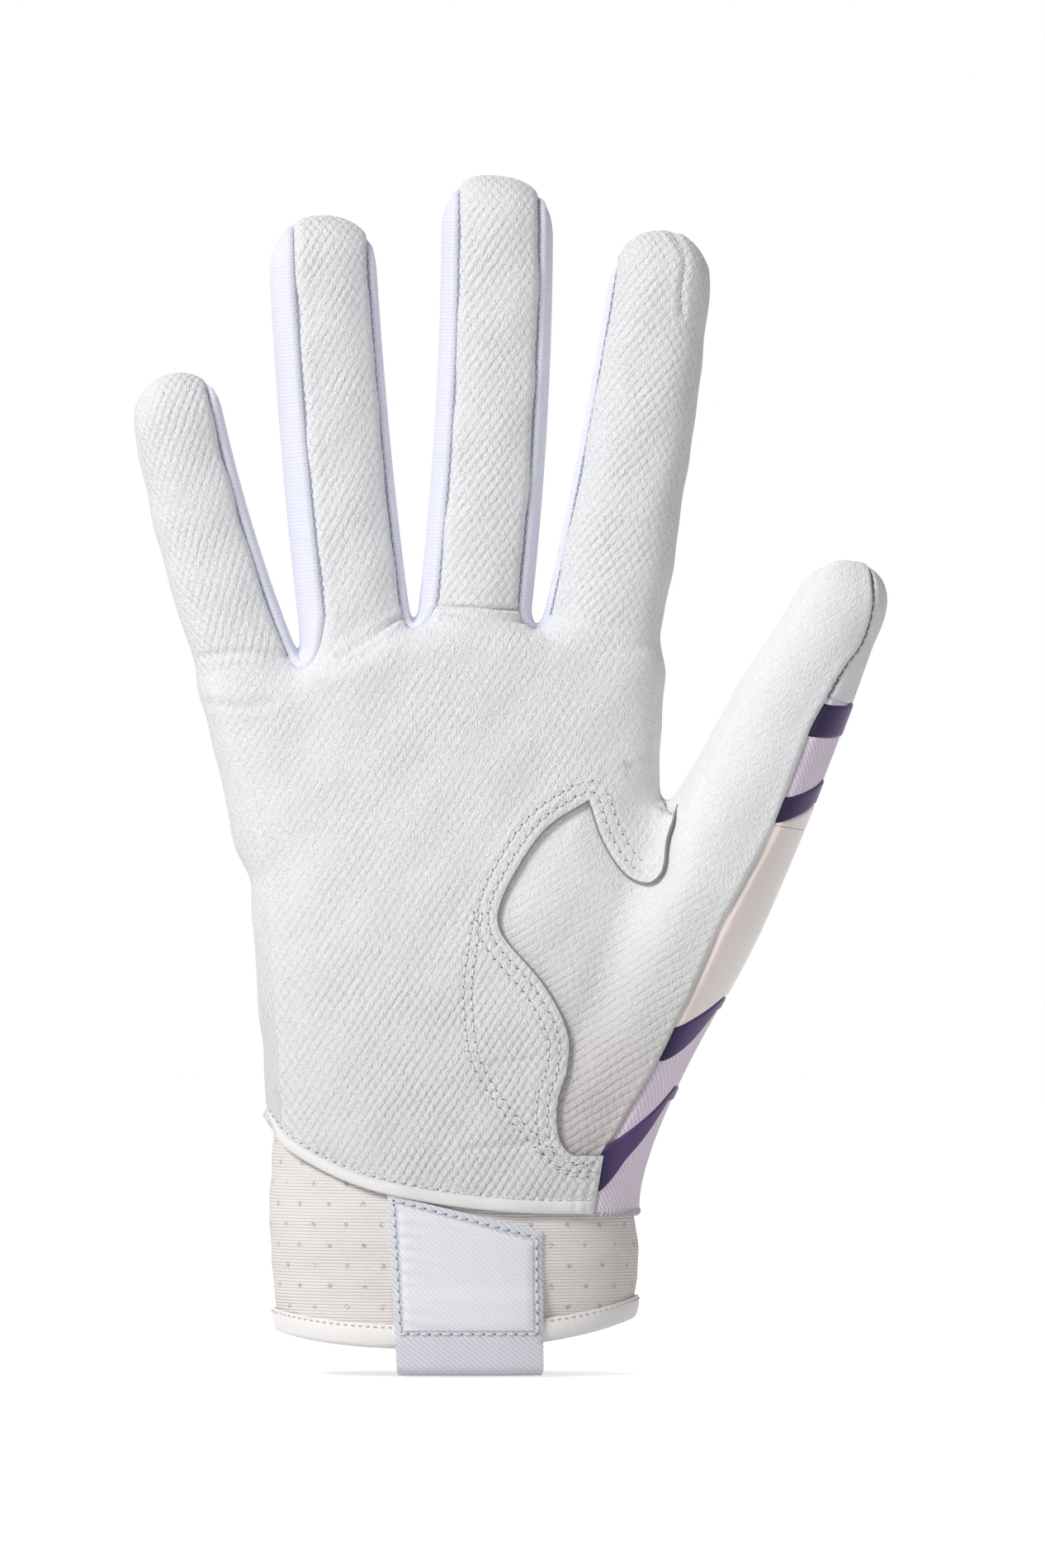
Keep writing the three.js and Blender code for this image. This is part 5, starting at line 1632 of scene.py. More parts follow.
    def thumb_crotch(self, v: Array) -> Array:
        """Places over the saddle between thumb and palm: where rays that turn from front to back leave the form."""
        turn = v * math.pi
        ray = np.stack([np.zeros_like(turn), -self.SADDLE_FLAT * np.cos(turn), np.sin(turn)], -1)
        middle = np.array([self.THUMB_CROTCH[0], self.SADDLE_Y, self.THUMB_CROTCH[1]])
        middle = middle - np.array([self.SADDLE_LEAN, 0, 0]) * np.sin(turn)[:, None]
        inner, outer = np.zeros((len(v), 1)), np.full((len(v), 1), self.RAY)
        for _ in range(self.HALVINGS):
            reach = (inner + outer) / 2
            is_inside = self.form.field(middle + ray * reach)[:, None] < 0
            inner, outer = np.where(is_inside, reach, inner), np.where(is_inside, outer, reach)
        return middle + ray * inner

    def radial(self, v: Array) -> Array:
        """Lines from the thumb's crotch up to the index finger, round the edge of the hand, shares by rows by 3."""
        index = self.form.fingers[-1]
        top = self.bend_side(index, index.front[1], index.back[1], v)
        foot = self.thumb_crotch(v)
        t = shares(self.UPPER_ROWS)[None]
        turn = mix(self.RADIAL_WRAP, -self.RADIAL_WRAP, v)
        line = self.form.around(turn[:, None], mix(foot[:, 2:], top[:, 2:], t))
        low, high = line[:, :1], line[:, -1:]
        ease = np.clip(1 - t / 0.2, 0, 1)[..., None] ** 2, smooth((t - 0.5) / 0.5)[..., None]
        return line + (foot[:, None] - low) * ease[0] + (top[:, None] - high) * ease[1]

    def ulnar(self, v: Array, rows: int) -> Array:
        """Lines from the hem up to the little finger, round the edge of the hand, shares by rows by 3."""
        little = self.form.fingers[0]
        top = self.bend_side(little, little.front[0], little.back[0], v)
        turn = mix(180 - self.ULNAR_WRAP, 180 + self.ULNAR_WRAP, v)
        x = self.form.around(turn, np.full_like(turn, 40))[:, 0]
        foot = np.where(turn <= 180, self.HEM.at(x), self.BACK_HEM.at(x))
        t = shares(rows)[None]
        line = self.form.around(turn[:, None], mix(foot[:, None], top[:, 2:], t))
        return line + (top[:, None] - line[:, -1:]) * smooth((t - 0.5) / 0.5)[..., None]

    def side(self, shift: float) -> Array:
        """The thumb's side seam from the hem to its bending line, moved sideways by a shift."""
        thumb = self.form.thumb
        end = self.bend(thumb, np.array([self.THUMB_SHARE]), Face.FRONT)[0, [0, 2]]
        upper = Line((self.STEP, *self.SIDE, tuple(end))).at(shares(self.SIDE_ROWS))
        line = np.concatenate([self.foot_line, upper[1:]]) + np.array([shift, 0])
        places = self.form.lift(line, Face.FRONT)
        places[-1] = self.bend(thumb, np.array([self.THUMB_SHARE + shift / thumb.half.at(np.zeros(1))[0]]),
                               Face.FRONT)[0]
        return places

    def cut_gap(self, p: Array) -> Array:
        """Distance from the palm's cut edge: above zero on the thumb's side of it, below zero under the palm."""
        xz = p[..., [0, 2]]
        return gap_to(xz, self.edge) * np.where(inside(xz, self.palm_ring), -1, 1)


@dataclass
class HandPart(Part):
    """A sub-assembly on the hand, between the seams that its panels share."""

    seams: Seams


@dataclass
class Palm(HandPart):
    """The leather palm with its cut edge and tongue, the leather under the thumb, and the lining behind the cut."""

    relief: Relief
    leather: float = 0.9
    raised: float = 0.35
    groove: float = 0.2
    rows_of_stitches: tuple[float, float] = (1.8, 3.9)
    double_row: tuple[float, float] = (-0.8, 0.8)
    tongue_stitched: int = 32
    hem_tall: float = 2.6
    hem_rise: float = 0.6
    raw_edge: Stitch = Stitch(0.6, 0.85, 0.2, 0.0)
    edge_end: tuple[Place, ...] = ((42.75, 99.9), (43.0, 100.8), (43.2, 101.5))
    seam_stitch: Stitch = Stitch(2.1, 1.35, 0.19, 0.14)
    # Dark capsules of painted shade at the needle holes between the stitches.
    seam_hole_shade: Stitch = Stitch(2.1, 0.5, 0.15, -0.07, turn=36.0, start=0.0)
    lining_outer: Line = Line(((16.5, 36.5), (8, 45), (3.4, 54), (2.2, 66), (4.4, 78.1)))
    lining_inner: Line = Line(((19, 35.5), (18.5, 45), (19.5, 56), (14.5, 67), (6, 79)))
    lining_height: float = -2.5
    lining_wall: float = 0.6
    roll_wall: float = 0.5
    hem_left: float = -36.6

    def build(self) -> None:
        """Builds the palm, the thumb's leather, the lining and their stitches."""
        self.panel("palm_leather_panel", self.palm_patches(), self.leather, [PALM_LEATHER, RAW_EDGE], "palm_panel")
        self.panel("thumb_leather_panel", self.thumb_patches(), self.leather, [THUMB_LEATHER, RAW_EDGE],
                   "thumb_panel")
        self.build_lining()
        self.build_hem_roll()
        self.build_stitches()

    def height(self, p: Array) -> Array:
        """Height of the palm: raised along the cut, with a groove under each row of stitches."""
        xz = p[..., [0, 2]]
        front = smooth(-p[..., 1] / 4)
        gap = gap_to(xz, self.seams.edge)
        height = self.raised * (1 - smooth((gap - 2) / 6)) - 0.22 * hump(gap, 0, 0.45)
        for reach in self.rows_of_stitches:
            height -= self.groove * hump(gap, reach, 0.5)
        for line in self.reinforcement():
            height -= self.groove * hump(gap_to(xz, line), 0, 0.5)
        crotches = [self.seams.crotch(k, np.zeros(1))[0] for k in range(len(self.seams.CROTCHES))]
        near = np.minimum.reduce([gap_to(p, crotch) for crotch in crotches])
        return self.relief.at(p) + height * front + seam_dip(near)

    def reinforcement(self) -> list[Array]:
        """The two rows of stitches that hold the lining."""
        return [beside(self.seams.REINFORCED.at(shares(80)), shift) for shift in self.double_row]

    def palm_patches(self) -> list[Patch]:
        """The palm's main sheet, its wrap round the little-finger side, its tongue and its edge beside the index."""
        seams, form = self.seams, self.seams.form
        notch_line = mix(np.array(seams.NOTCH), seams.split[[0, 2]], shares(seams.UPPER_ROWS)[:, None])
        notch_line = form.lift(notch_line, Face.FRONT)
        notch_line[-1] = seams.split
        right = np.concatenate([form.lift(seams.cut, Face.FRONT), notch_line[1:]])
        notch_line[0] = right[len(seams.cut) - 1]
        wrap = seams.ulnar(shares(26), len(right))
        top = seams.knuckles(Face.FRONT, 0.0)
        x = mix(wrap[0, 0, 0], right[0, 0], shares(len(top)))
        bottom = form.lift(np.stack([x, seams.HEM.at(x)], -1), Face.FRONT)
        main = form.settle(coons(bottom, top, wrap[0], right))
        edge = seams.radial(shares(20))
        tongue = form.lift(seams.tongue, Face.FRONT)
        index = form.fingers[-1]
        tongue_top = seams.bend(index, np.linspace(0, index.front[1], len(tongue)), Face.FRONT)
        flap = form.settle(coons(tongue, tongue_top, notch_line, edge[0]))
        return [self.flat_patch(main, True), self.wrap_patch(wrap, -1), self.flat_patch(flap, False),
                self.wrap_patch(edge, 1)]

    def hem(self, reach: Array) -> Array:
        """Height of the rolled hem at a distance from its edge."""
        return 0.6 * hump(reach, 1.0, 0.8) - 0.3 * hump(reach, self.hem_tall, 0.45) - 0.4 * hump(reach, 0, 0.4)

    def flat_patch(self, p: Array, has_hem: bool) -> Patch:
        """A patch whose cloth lies flat on the palm."""
        hem = self.hem(from_sides(p, Side.BOTTOM)) * smooth((28 - p[..., 0]) / 3) if has_hem else 0
        return Patch(p, p[..., [0, 2]], self.height(p) + hem)

    def wrap_patch(self, p: Array, way: int) -> Patch:
        """A patch that runs round the edge of the hand, its cloth unrolled to that side.

        Args:
            p: Places, shares round the edge by rows up by 3.
            way: -1 to the little-finger side, 1 to the thumb side.

        Returns:
            The patch.
        """
        cloth = unrolled(p[0][:, [0, 2]], p.swapaxes(0, 1), way).swapaxes(0, 1)
        height = self.height(p) + tucked(from_sides(p, Side.TOP), 0.45)
        return Patch(p, cloth, height + (self.hem(from_sides(p, Side.LEFT)) if way < 0 else 0))

    def thumb_patches(self) -> list[Patch]:
        """The leather under the ball of the thumb and the saddle between thumb and palm."""
        seams, form = self.seams, self.seams.form
        thumb = form.thumb
        right = seams.side(0.0)[seams.FOOT_ROWS - 1:]
        left = form.lift(seams.UNDER_CUT.at(shares(len(right))), Face.FRONT)
        crotch = seams.thumb_crotch(np.zeros(1))[0]
        bend = seams.bend(thumb, np.linspace(thumb.front[0], seams.THUMB_SHARE, 44), Face.FRONT)
        under = Line((seams.UNDER_CUT.places[-1], (32, 103.5), tuple(crotch[[0, 2]]))).at(shares(34))
        under = form.lift(under, Face.FRONT)
        saddle_foot = form.settle(mix(crotch, bend[0], shares(10)[:, None]))
        top = np.concatenate([under[:-1], [crotch], saddle_foot[1:], bend[1:]])
        bottom = form.settle(mix(left[0], right[0], shares(len(top))[:, None]))
        main = form.settle(coons(bottom, top, left, right))
        v = shares(20)
        rim = seams.bend_side(thumb, thumb.front[0], thumb.back[0], v)
        saddle = form.settle(mix(seams.thumb_crotch(v)[:, None], rim[:, None], shares(10)[None, :, None]))
        edge = rolled_edge(from_sides(main, Side.RIGHT))
        return [Patch(main, thumb.cloth(main), self.thumb_height(main) + edge),
                Patch(saddle, thumb.cloth(saddle), self.thumb_height(saddle))]

    def thumb_height(self, p: Array) -> Array:
        """Height of the thumb's leather: low beside the palm's cut edge, on the front and below the thumb's root."""
        along, _ = self.seams.form.thumb.local(p)
        low = sunk(self.seams.cut_gap(p), self.leather, 0.4, 6)
        return self.relief.at(p) + low * smooth((-p[..., 1] - 2) / 4) * smooth((-3.5 - along) / 4)

    def build_lining(self) -> None:
        """Builds the patch sewn inside the palm beside the cut."""
        outer, inner = (line.at(shares(50))[:, None] for line in (self.lining_outer, self.lining_inner))
        grid = mix(outer, inner, shares(20)[None, :, None])
        places = self.seams.form.lift(grid, Face.FRONT)
        patch = Patch(places, grid, np.full(grid.shape[:-1], self.lining_height))
        self.panel("palm_lining_patch", [patch], self.lining_wall, [LINING], "palm_lining")

    def build_hem_roll(self) -> None:
        """Builds the smooth leather rolled over the hem: half an ellipse across it, which flattens at both ends."""
        u, t = shares(160)[None], shares(14)[:, None]
        x = mix(self.hem_left, self.seams.FOOT[0] - 0.1, u)
        z = self.seams.HEM.at(x) + mix(-0.25, self.hem_tall - 0.35, t)
        grid = np.stack(np.broadcast_arrays(x, z), -1)
        places = self.seams.form.lift(grid, Face.FRONT)
        ends = smooth(u / 0.04) * smooth((1 - u) / 0.02)
        height = self.height(places) + self.hem_rise * np.sqrt(1 - (2 * t - 1) ** 2) * mix(0.3, 1, ends)
        # The roll takes the darker copy of the leather as painted shade.
        self.panel("palm_hem_roll", [Patch(places, grid, height)], self.roll_wall, [HEM_LEATHER_SHADED])

    def build_stitches(self) -> None:
        """Builds the rows along the cut, the reinforcement and the hem, dark capsules of painted shade at their needle
        holes, and the raw edge of the cut.
        """
        seams, form = self.seams, self.seams.form
        edge = seams.edge[20:len(seams.cut) + self.tongue_stitched]
        rows = [beside(edge, reach) for reach in self.rows_of_stitches] + self.reinforcement()
        x = np.linspace(self.hem_left + 0.3, seams.FOOT[0] - 0.4, 120)
        rows.append(np.stack([x, seams.HEM.at(x) + self.hem_tall], -1))
        rows = [form.lift(row, Face.FRONT) for row in rows]
        heights = [self.height(row) + 0.05 for row in rows]
        heights[-1] += self.hem(np.full(len(x), self.hem_tall))
        for name, stitch, finish in (("palm_stitches", self.seam_stitch, WHITE_THREAD),
                                     ("palm_needle_hole_shades", self.seam_hole_shade, NEEDLE_HOLE_SHADE)):
            self.sewn(name, rows, heights, stitch, finish)
        line = np.concatenate([beside(seams.edge[seams.FOOT_ROWS:-4], -0.12), np.array(self.edge_end)])
        line = form.lift(line, Face.FRONT)
        self.sewn("palm_raw_edge", [line], [self.height(line) - 0.25], self.raw_edge, RAW_EDGE)


@dataclass
class Back(HandPart):
    """The ribbed back of the hand with the thumb's base, and the film panels on its thumb side."""

    stretch: float = 0.8
    side_columns: int = 40
    behind_columns: int = 40
    crotch_columns: int = 10
    wrist_turns: Place = (48.0, -54.0)
    bands: tuple[tuple[str, Place, Place], ...] = (
        ("wrist_band_upper", (51.5, 57.6), (61.6, 64.2)),
        ("wrist_band_lower", (25.8, 34.2), (43.9, 46.8)),
        ("thumb_overlay", (57.7, 99.0), (64.3, 99.0)),
    )
    lower_rise: float = 2.0
    upper_rise: float = 1.0
    under_seam: Place = (1.1, 1.2)
    seam_shift: float = -1.4
    overlock: Stitch = Stitch(0.95, 1.9, 0.22, 0.25, turn=68.0)
    overlock_height: float = -0.2

    def build(self) -> None:
        """Builds the back, the film panels and the overlocked edge."""
        base = self.thumb_base()
        rear = self.rear(base[:, -1])
        seam = run(base, 1)
        patches = [
            Patch(base, np.stack([seam, run(base, 0)], -1), sunk(seam, *self.under_seam)),
            Patch(rear, rear[..., [0, 2]], tucked(from_sides(rear, Side.LEFT, Side.TOP), 0.45)),
        ]
        self.panel("back_rib", patches, self.stretch, [LAVENDER_KNIT], "back_panel")
        for name, low, high in self.bands:
            self.build_band(base, name, low, high)
        edge = np.concatenate([base[0, 6:], rear[0, ::-1][1:]])
        self.sewn("back_hem_overlock", [edge], [self.overlock_height], self.overlock, LAVENDER_THREAD)

    def thumb_base(self) -> Array:
        """Places from the thumb's side seam round its base to the valley behind it, rows by columns by 3."""
        seams, form = self.seams, self.seams.form
        thumb = form.thumb
        left = seams.side(self.seam_shift)
        valley = form.lift(Line(seams.VALLEY).at(shares(len(left))), Face.BACK)
        valley[-1] = seams.thumb_crotch(np.ones(1))[0]
        side = seams.bend_side(thumb, seams.THUMB_SHARE, thumb.back[1], shares(self.side_columns + 1))
        behind = seams.bend(thumb, np.linspace(thumb.back[1], thumb.back[0], self.behind_columns + 1), Face.BACK)
        end = mix(behind[-1], valley[-1], shares(self.crotch_columns + 1)[:, None])
        top = np.concatenate([side, behind[1:], form.settle(end)[1:]])
        t = shares(len(top))[:, None]
        bottom = form.around(mix(*self.wrist_turns, t[:, 0]), np.full(len(top), left[0, 2]))
        pulls = (left[0] - bottom[0]) * smooth(1 - t / 0.3), (valley[0] - bottom[-1]) * smooth((t - 0.7) / 0.3)
        bottom = bottom + pulls[0] + pulls[1]
        return form.settle(coons(bottom, top, left, valley))

    def rear(self, edge: Array) -> Array:
        """Places over the back of the hand, from the little-finger seam to the valley, rows by columns by 3."""
        seams, form = self.seams, self.seams.form
        top = seams.knuckles(Face.BACK, form.fingers[-1].back[1])
        right = np.concatenate([edge, seams.radial(np.ones(1))[0, 1:]])
        left = seams.ulnar(np.ones(1), len(right))[0]
        x = mix(left[0, 0], right[0, 0], shares(len(top)))
        bottom = form.lift(np.stack([x, seams.BACK_HEM.at(x)], -1), Face.BACK)
        return form.settle(coons(bottom, top, left, right))

    def build_band(self, base: Array, name: str, low: Place, high: Place) -> None:
        """Builds a film panel on the thumb's base between heights at the seam and at the glove's edge.

        Args:
            base: Places of the thumb's base.
            name: The node it stands for.
            low: Heights of its lower and upper edge at the seam.
            high: Heights of its lower and upper edge at the glove's edge.
        """
        columns = np.arange(self.side_columns + self.behind_columns // 2 + 1)
        share = np.minimum(columns / (self.side_columns / 2), 1)[None]
        is_overlay = name == "thumb_overlay"
        t = shares(60 if is_overlay else 16)[:, None]
        lines = base[:, columns]
        lower = mix(low[0], high[0], share ** (self.upper_rise if is_overlay else self.lower_rise))
        upper = np.minimum(mix(low[1], high[1], share ** self.upper_rise), lines[-1, :, 2] - 0.05)
        z = mix(lower, upper, t)
        k = np.clip((lines[:, None, :, 2] <= z[None]).sum(0), 1, len(lines) - 1)
        under, over = lines[k - 1, columns[None]], lines[k, columns[None]]
        step = np.clip((z - under[..., 2]) / (over[..., 2] - under[..., 2]), 0, 1)
        places = self.seams.form.settle(mix(under, over, step[..., None]))
        sides = (Side.BOTTOM, Side.RIGHT) if is_overlay else (Side.BOTTOM, Side.RIGHT, Side.TOP)
        patch = film_patch(places, sides, *self.under_seam)
        self.panel(f"{name}_film", [patch], FILM_WALL, [CREAM_FILM if is_overlay else DARK_FILM], name)


@dataclass
class Webs(HandPart):
    """The stretch webs in the hollows between the fingers."""

    names: tuple[str, ...] = ("web_little_ring", "web_ring_middle", "web_middle_index")
    stretch: float = 0.7

    def build(self) -> None:
        """Builds each web with a rolled bead along its front seam."""
        for k, name in enumerate(self.names):
            places = self.seams.crotch(k, strip_shares())
            reach = from_seam(places, 0)
            patch = Patch(places, np.stack([reach, run(places, 1)], -1), strip_height(reach, 0))
            self.panel(f"{name}_stretch", [patch], self.stretch, [WHITE_KNIT], name)


@dataclass
class Cuff(HandPart):
    """The knit cuff, tucked under the hem all round, and the strip bound over its edge."""

    knit: float = 1.2
    foot: float = 1.4
    tilt: float = 2.4
    drop: float = 3.8
    tuck: float = 6.0
    inset: float = -1.2
    bound_tall: float = 3.6
    bound_wall: float = 0.7
    bound_out: float = -0.4
    bound_in: float = -3.8
    bulge: float = 0.55
    ripple: float = 0.08
    rows: int = 64
    columns: int = 240
    bound_rows: int = 14
    bound_stitch: Stitch = Stitch(1.5, 1.0, 0.17, 0.12)

    def rim(self, degrees: Array) -> Array:
        """Height of the mouth's rim round the wrist, higher on the thumb side and lower in the middle."""
        turn = np.radians(degrees)
        return self.foot + self.tilt / 2 * np.cos(turn) - self.drop * np.sin(turn) ** 2

    def build(self) -> None:
        """Builds the knit, the bound strip and its stitches."""
        seams, form = self.seams, self.seams.form
        turn = shares(self.columns + 1)[None] * 360
        x = form.around(turn, np.full_like(turn, self.foot))[..., 0]
        top = self.tuck + np.where(np.sin(np.radians(turn)) >= 0, seams.HEM.at(x), seams.BACK_HEM.at(x))
        t = shares(self.rows)[:, None]
        places = form.around(np.broadcast_to(turn, (self.rows, self.columns + 1)), mix(self.rim(turn), top, t))
        hem = top - self.tuck
        z = places[..., 2]
        height = self.inset + self.bulge * hump(z, (hem + 4) * 0.55, 7.0) - 0.5 * smooth((z - hem + 3) / 5)
        height += self.ripple * np.sin(z * 0.9 + np.radians(turn) * 3)
        patch = Patch(places, np.stack([run(places, 1), z], -1), height)
        self.panel("cuff_knit_tube", [patch], self.knit, [CUFF_KNIT], "cuff")
        self.build_binding(turn[0, :-1])

    def build_binding(self, turn: Array) -> None:
        """Builds the strip: a bowed U-shaped profile carried round the rim."""
        form = self.seams.form
        q = shares(self.bound_rows)
        half = self.bound_wall / 2
        arm = np.stack([self.bound_tall * (1 - q), self.bound_out - half + 0.3 * np.sin(q * math.pi)], -1)[:-1]
        angle = shares(9) * math.pi
        middle, reach = (self.bound_out + self.bound_in) / 2, (self.bound_out - self.bound_in) / 2 - half
        bend = np.stack([-0.7 * np.sin(angle), middle + reach * np.cos(angle)], -1)
        back = np.stack([self.bound_tall * q, np.full_like(q, self.bound_in + half)], -1)[1:]
        profile = ribbon(np.concatenate([arm, bend, back]), self.bound_wall)
        z = self.rim(turn)[None] - 0.5 + profile[:, :1]
        places = form.around(np.broadcast_to(turn[None], z.shape), z)
        points = places + form.out(places) * profile[:, 1:, None]
        quads = grid_quads(*z.shape, True, True)[:, ::-1]
        cloth = np.stack(np.broadcast_arrays(run(places, 1), np.arange(len(profile))[:, None] * 0.4), -1)
        cloth = cloth.reshape(-1, 2)[quads]
        piece = make_object("bound_edge", points.reshape(-1, 3), quads, cloth, [BINDING])
        self.carry(piece)
        hand_over(piece, ("cuff_binding",))
        turn = np.append(turn, 360)
        line = form.around(turn, self.rim(turn) + self.bound_tall - 1.0)
        self.sewn("bound_edge_stitches", [line], [self.bound_out + 0.1], self.bound_stitch, BEIGE_THREAD)


def ribbon(line: Array, wall: float) -> Array:
    """A closed profile of even thickness round a middle line in a plane."""
    way = unit(np.gradient(line, axis=0))
    across = np.stack([-way[:, 1], way[:, 0]], -1) * wall / 2
    return np.concatenate([line + across, (line - across)[::-1]])


@dataclass
class PullTab(HandPart):
    """The woven tape sewn on the cuff, its label, the end sewn inside and the fold below the mouth."""

    left: float = -13.2
    right: float = 17.0
    top_left: float = 26.0
    top_right: float = 18.8
    bend: float = -3.0
    foot: float = -9.2
    leaf_top: float = 12.0
    margin: float = 2.0
    label_foot: float = -0.4
    taper: float = 2.0
    tape: float = 0.9
    over: float = -0.1
    under: float = -4.1
    on_knit: float = -0.75
    inner_on_knit: float = -3.3
    ramp: Place = (4.7, 4.0)
    label_rise: float = 0.55
    label_wall: float = 0.45
    stitch_margin: float = 1.2
    fold_round: float = 1.6
    swing: float = 2.5
    columns: int = 60
    stitch: Stitch = Stitch(2.1, 1.5, 0.2, 0.16)
    # Dark capsules of painted shade at the needle holes between the stitches.
    hole_shade: Stitch = Stitch(2.1, 0.5, 0.15, 0.0, turn=30.0, start=0.0)

    def place(self, u: Array, z: Array, margin: float) -> Array:
        """Places in the X-Z plane at shares across the tape and heights, inside a margin."""
        lean = self.taper * np.clip((self.top_left - z) / (self.top_left - self.foot), 0, 1)
        return np.stack(np.broadcast_arrays(mix(self.left + lean + margin, self.right - margin, u), z), -1)

    def seat(self, z: Array, low: float, high: float) -> Array:
        """Height of the tape's seat: over the bound edge, then down on the knit."""
        return mix(low, high, smooth((z - self.ramp[0]) / self.ramp[1]))

    def top_face(self, z: Array) -> Array:
        """Height of the tape's outer face."""
        return self.seat(z, self.over, self.on_knit) + self.tape

    def sheet(self, name: str, node: str, xz: Array, height: Array, wall: float, finish: Finish) -> None:
        """Builds a flat piece of the tab from places in the X-Z plane."""
        patch = Patch(self.seams.form.lift(xz, Face.FRONT), xz, height)
        self.panel(name, [patch], wall, [finish], node)

    def build(self) -> None:
        """Builds the tape, the label, the inner end, the fold, the outline of stitches and dark capsules of painted
        shade at their needle holes.
        """
        across = shares(self.columns)
        u, t = across[None], across[:, None]
        top = mix(self.top_left, self.top_right, u)
        xz = self.place(u, mix(self.bend, top, t), 0)
        edge = from_sides(self.flat(xz), Side.LEFT, Side.RIGHT, Side.TOP)
        height = self.top_face(xz[..., 1]) - 0.3 * hump(edge, 0, 0.5)
        self.sheet("pull_tab_tape", "pull_tab_front", xz, height, self.tape, GREY_TAPE)
        xz = self.place(u, mix(self.label_foot, top - self.margin, t), self.margin)
        edge = from_sides(self.flat(xz), Side.LEFT, Side.RIGHT, Side.TOP, Side.BOTTOM)
        pucker = 0.2 * np.sin(xz[..., 1] * 2.6 + xz[..., 0] * 0.3) * np.exp(-(xz[..., 0] - xz[:, :1, 0]) / 5)
        height = self.top_face(xz[..., 1]) + self.label_rise + pucker - 0.3 * hump(edge, 0, 0.6)
        self.sheet("pull_tab_label_patch", "pull_tab_label", xz, height, self.label_wall, LABEL)
        xz = self.place(u, mix(self.bend, self.leaf_top, t), 0)
        height = self.seat(xz[..., 1], self.under, self.inner_on_knit)
        self.sheet("pull_tab_inner_end", "pull_tab_leaf", xz, height, self.tape, GREY_TAPE)
        self.build_fold()
        low = self.label_foot - 0.7
        rim = top[0] - self.stitch_margin
        sides = ((0 * across, mix(low, rim[0], across)), (across, rim),
                 (0 * across + 1, mix(rim[-1], low, across)), (1 - across, 0 * across + low))
        ring = [self.place(*side, self.stitch_margin) for side in sides]
        lines = [self.seams.form.lift(line, Face.FRONT) for line in ring]
        heights = [self.top_face(line[:, 1]) + 0.05 for line in ring]
        for name, stitch, finish in (("pull_tab_stitches", self.stitch, WHITE_THREAD),
                                     ("pull_tab_needle_hole_shades", self.hole_shade, NEEDLE_HOLE_SHADE)):
            self.sewn(name, lines, heights, stitch, finish)

    @staticmethod
    def flat(xz: Array) -> Array:
        """Places of the X-Z plane as places with three axes."""
        return np.stack([xz[..., 0], np.zeros(xz.shape[:-1]), xz[..., 1]], -1)

    def build_fold(self) -> None:
        """Builds the fold: a tape profile from the front down round the bottom and up behind, carried across."""
        form = self.seams.form
        low = self.foot + self.tape / 2 + self.fold_round
        front, rear = self.over + self.tape / 2, self.under - self.tape / 2
        q = shares(10)
        angle = shares(13)[1:-1] * math.pi
        down = np.stack([mix(self.bend, low, q), np.full_like(q, front)], -1)
        turn = np.stack([low - self.fold_round * np.sin(angle), mix(rear, front, (1 + np.cos(angle)) / 2)], -1)
        behind = np.stack([down[::-1, 0], np.full_like(q, rear)], -1)
        profile = ribbon(np.concatenate([down, turn, behind]), self.tape)
        columns = self.columns
        xz = self.place(shares(columns)[None], np.broadcast_to(profile[:, :1], (len(profile), columns)), 0)
        places = form.lift(xz, Face.FRONT)
        points = places + form.out(places) * profile[:, 1:, None]
        quads = grid_quads(len(profile), columns, ring_rows=True)
        half = len(profile) // 2
        k = np.arange(half - 1)
        cap = np.stack([k, k + 1, 2 * half - 2 - k, 2 * half - 1 - k], -1) * columns
        quads = np.concatenate([quads, cap, cap[:, ::-1] + columns - 1])
        cloth = np.stack(np.broadcast_arrays(xz[..., 0], np.arange(len(profile))[:, None] * 0.6), -1)
        piece = make_object("pull_tab_fold_tape", points.reshape(-1, 3), quads, cloth.reshape(-1, 2)[quads],
                            [GREY_TAPE])
        middle = form.lift(np.array([[(self.left + self.right) / 2, self.bend]]), Face.FRONT)[0] * MM
        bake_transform(piece)
        hand_over(piece, ("pull_tab_loop",))


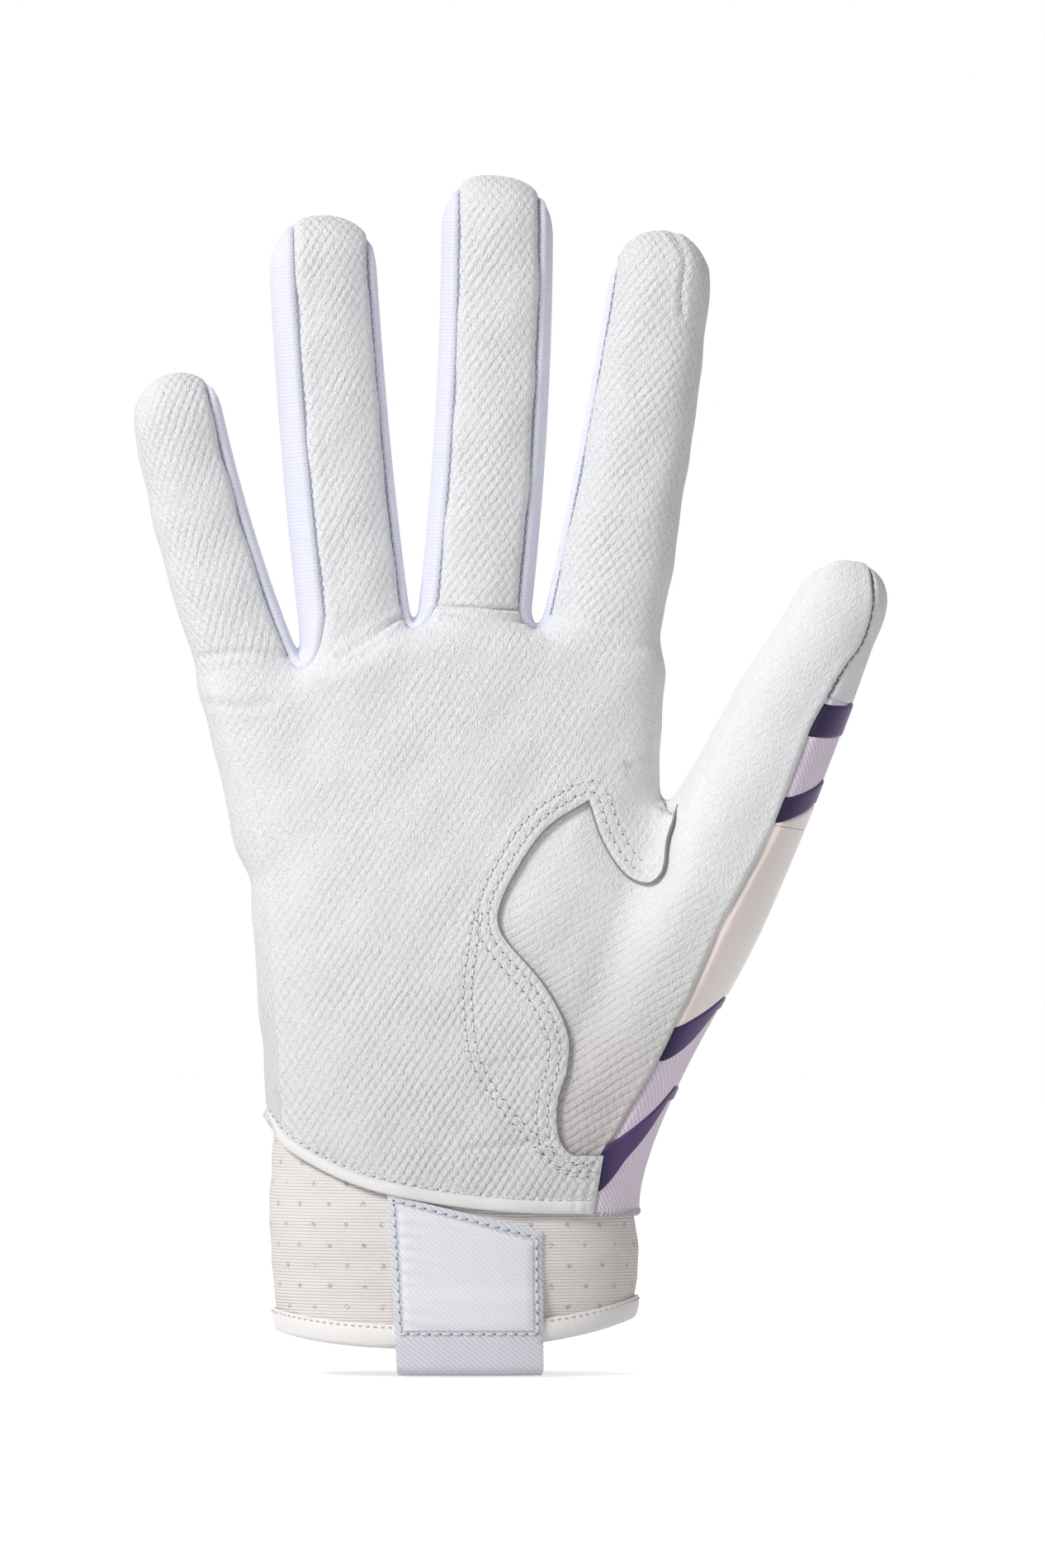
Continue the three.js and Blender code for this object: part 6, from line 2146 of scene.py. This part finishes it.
@dataclass
class Stage:
    """The pale floor, the soft studio light and the camera of the photograph."""

    floor_z: float = -9.6
    floor_half: float = 3000.0
    floor_lines: int = 25
    aim: Place = (13.06, 105.6)
    away: float = 3000.0
    frame_tall: float = 306.45
    sensor: float = 36.0
    lit: tuple[float, float, float] = (0.01, 0.0, 0.11)
    surround: float = 0.3
    lamps: tuple[tuple[str, tuple[float, float, float], float, float], ...] = (
        ("key", (-0.95, -1.0, 1.1), 0.55, 20.5),
        ("fill", (0.95, -1.0, 0.3), 0.9, 0.5),
        ("behind", (-0.3, 0.9, 0.8), 0.8, 3.0),
    )

    def build(self) -> None:
        """Builds the floor, the lamps, the world and the camera."""
        self.build_floor()
        self.build_light()
        data = bpy.data.cameras.new("camera")
        data.sensor_width = self.sensor
        data.lens = self.sensor * self.away / self.frame_tall
        camera = bpy.data.objects.new("camera", data)
        camera.location = (self.aim[0] * MM, -self.away * MM, self.aim[1] * MM)
        camera.rotation_euler = (math.pi / 2, 0, 0)
        bpy.context.scene.collection.objects.link(camera)
        bpy.context.scene.camera = camera

    def build_floor(self) -> None:
        """Builds the floor, which the camera sees almost white, with the glove's shadow."""
        side = np.linspace(-self.floor_half, self.floor_half, self.floor_lines)
        x, y = np.meshgrid(side, side, indexing="ij")
        points = np.stack([x, y, np.full_like(x, self.floor_z)], -1).reshape(-1, 3)
        quads = grid_quads(*x.shape)[:, ::-1]
        floor = make_object("floor", points, quads, points[quads][..., :2], [FLOOR])

    def build_light(self) -> None:
        """Builds a large key from the upper left, a fill from the right, and a white surround."""
        scene = bpy.context.scene
        scene.view_settings.view_transform = "Standard"
        world = bpy.data.worlds.new("surround")
        world.use_nodes = True
        scene.world = world
        graph = Graph(world.node_tree)
        background = world.node_tree.nodes["Background"]
        seen = graph.rays("Is Camera Ray", "Is Glossy Ray", "Is Transmission Ray")
        strength = graph.math("MULTIPLY_ADD", seen, 1 - self.surround, self.surround)
        background.inputs["Color"].default_value = (1, 1, 1, 1)
        world.node_tree.links.new(strength, background.inputs["Strength"])
        for name, place, size, watts in self.lamps:
            lamp = bpy.data.lights.new(name, "AREA")
            lamp.size = size
            lamp.energy = watts
            piece = bpy.data.objects.new(name, lamp)
            piece.location = place
            piece.rotation_euler = (Vector(place) - Vector(self.lit)).to_track_quat("Z", "Y").to_euler()
            scene.collection.objects.link(piece)


@dataclass(frozen=True)
class Floor(Finish):
    """The pale floor, which shines a little to the camera so that it runs into the white surround."""

    GLOW = 0.7

    def material(self) -> bpy.types.Material:
        """The material, with an added glow for camera rays."""
        known = bpy.data.materials.get(self.name)
        material = super().material()
        if known is None:
            graph = Graph(material.node_tree)
            shader = material.node_tree.nodes["Principled BSDF"]
            seen = graph.rays("Is Camera Ray", "Is Glossy Ray")
            glow = graph.math("MULTIPLY", seen, self.GLOW)
            shader.inputs["Emission Color"].default_value = (1, 1, 1, 1)
            material.node_tree.links.new(glow, shader.inputs["Emission Strength"])
        return material


FLOOR = Floor("pale_floor", "f2f2f2", "efefef", "binding", 0.9, specular=0.1)


def main() -> None:
    """Builds the glove and its stage."""
    logging.basicConfig(level=logging.INFO, format="%(name)s %(message)s")
    form = make_form()
    cutter, seams, relief = Cutter(form), Seams(form), Relief()
    little, ring, middle, index = form.fingers
    Finger(cutter, little, relief, (None, "little_side")).build()
    Finger(cutter, ring, relief, ("ring_side_little", "ring_side_middle")).build()
    Finger(cutter, middle, relief, ("middle_side_ring", "middle_side_index")).build()
    Finger(cutter, index, relief, ("index_side", None), dart=INDEX_DART).build()
    Thumb(cutter, form.thumb, relief).build()
    Palm(cutter, seams, relief).build()
    Back(cutter, seams).build()
    Webs(cutter, seams).build()
    Cuff(cutter, seams).build()
    PullTab(cutter, seams).build()
    Stage().build()
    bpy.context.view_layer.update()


if __name__ == "__main__":
    main()
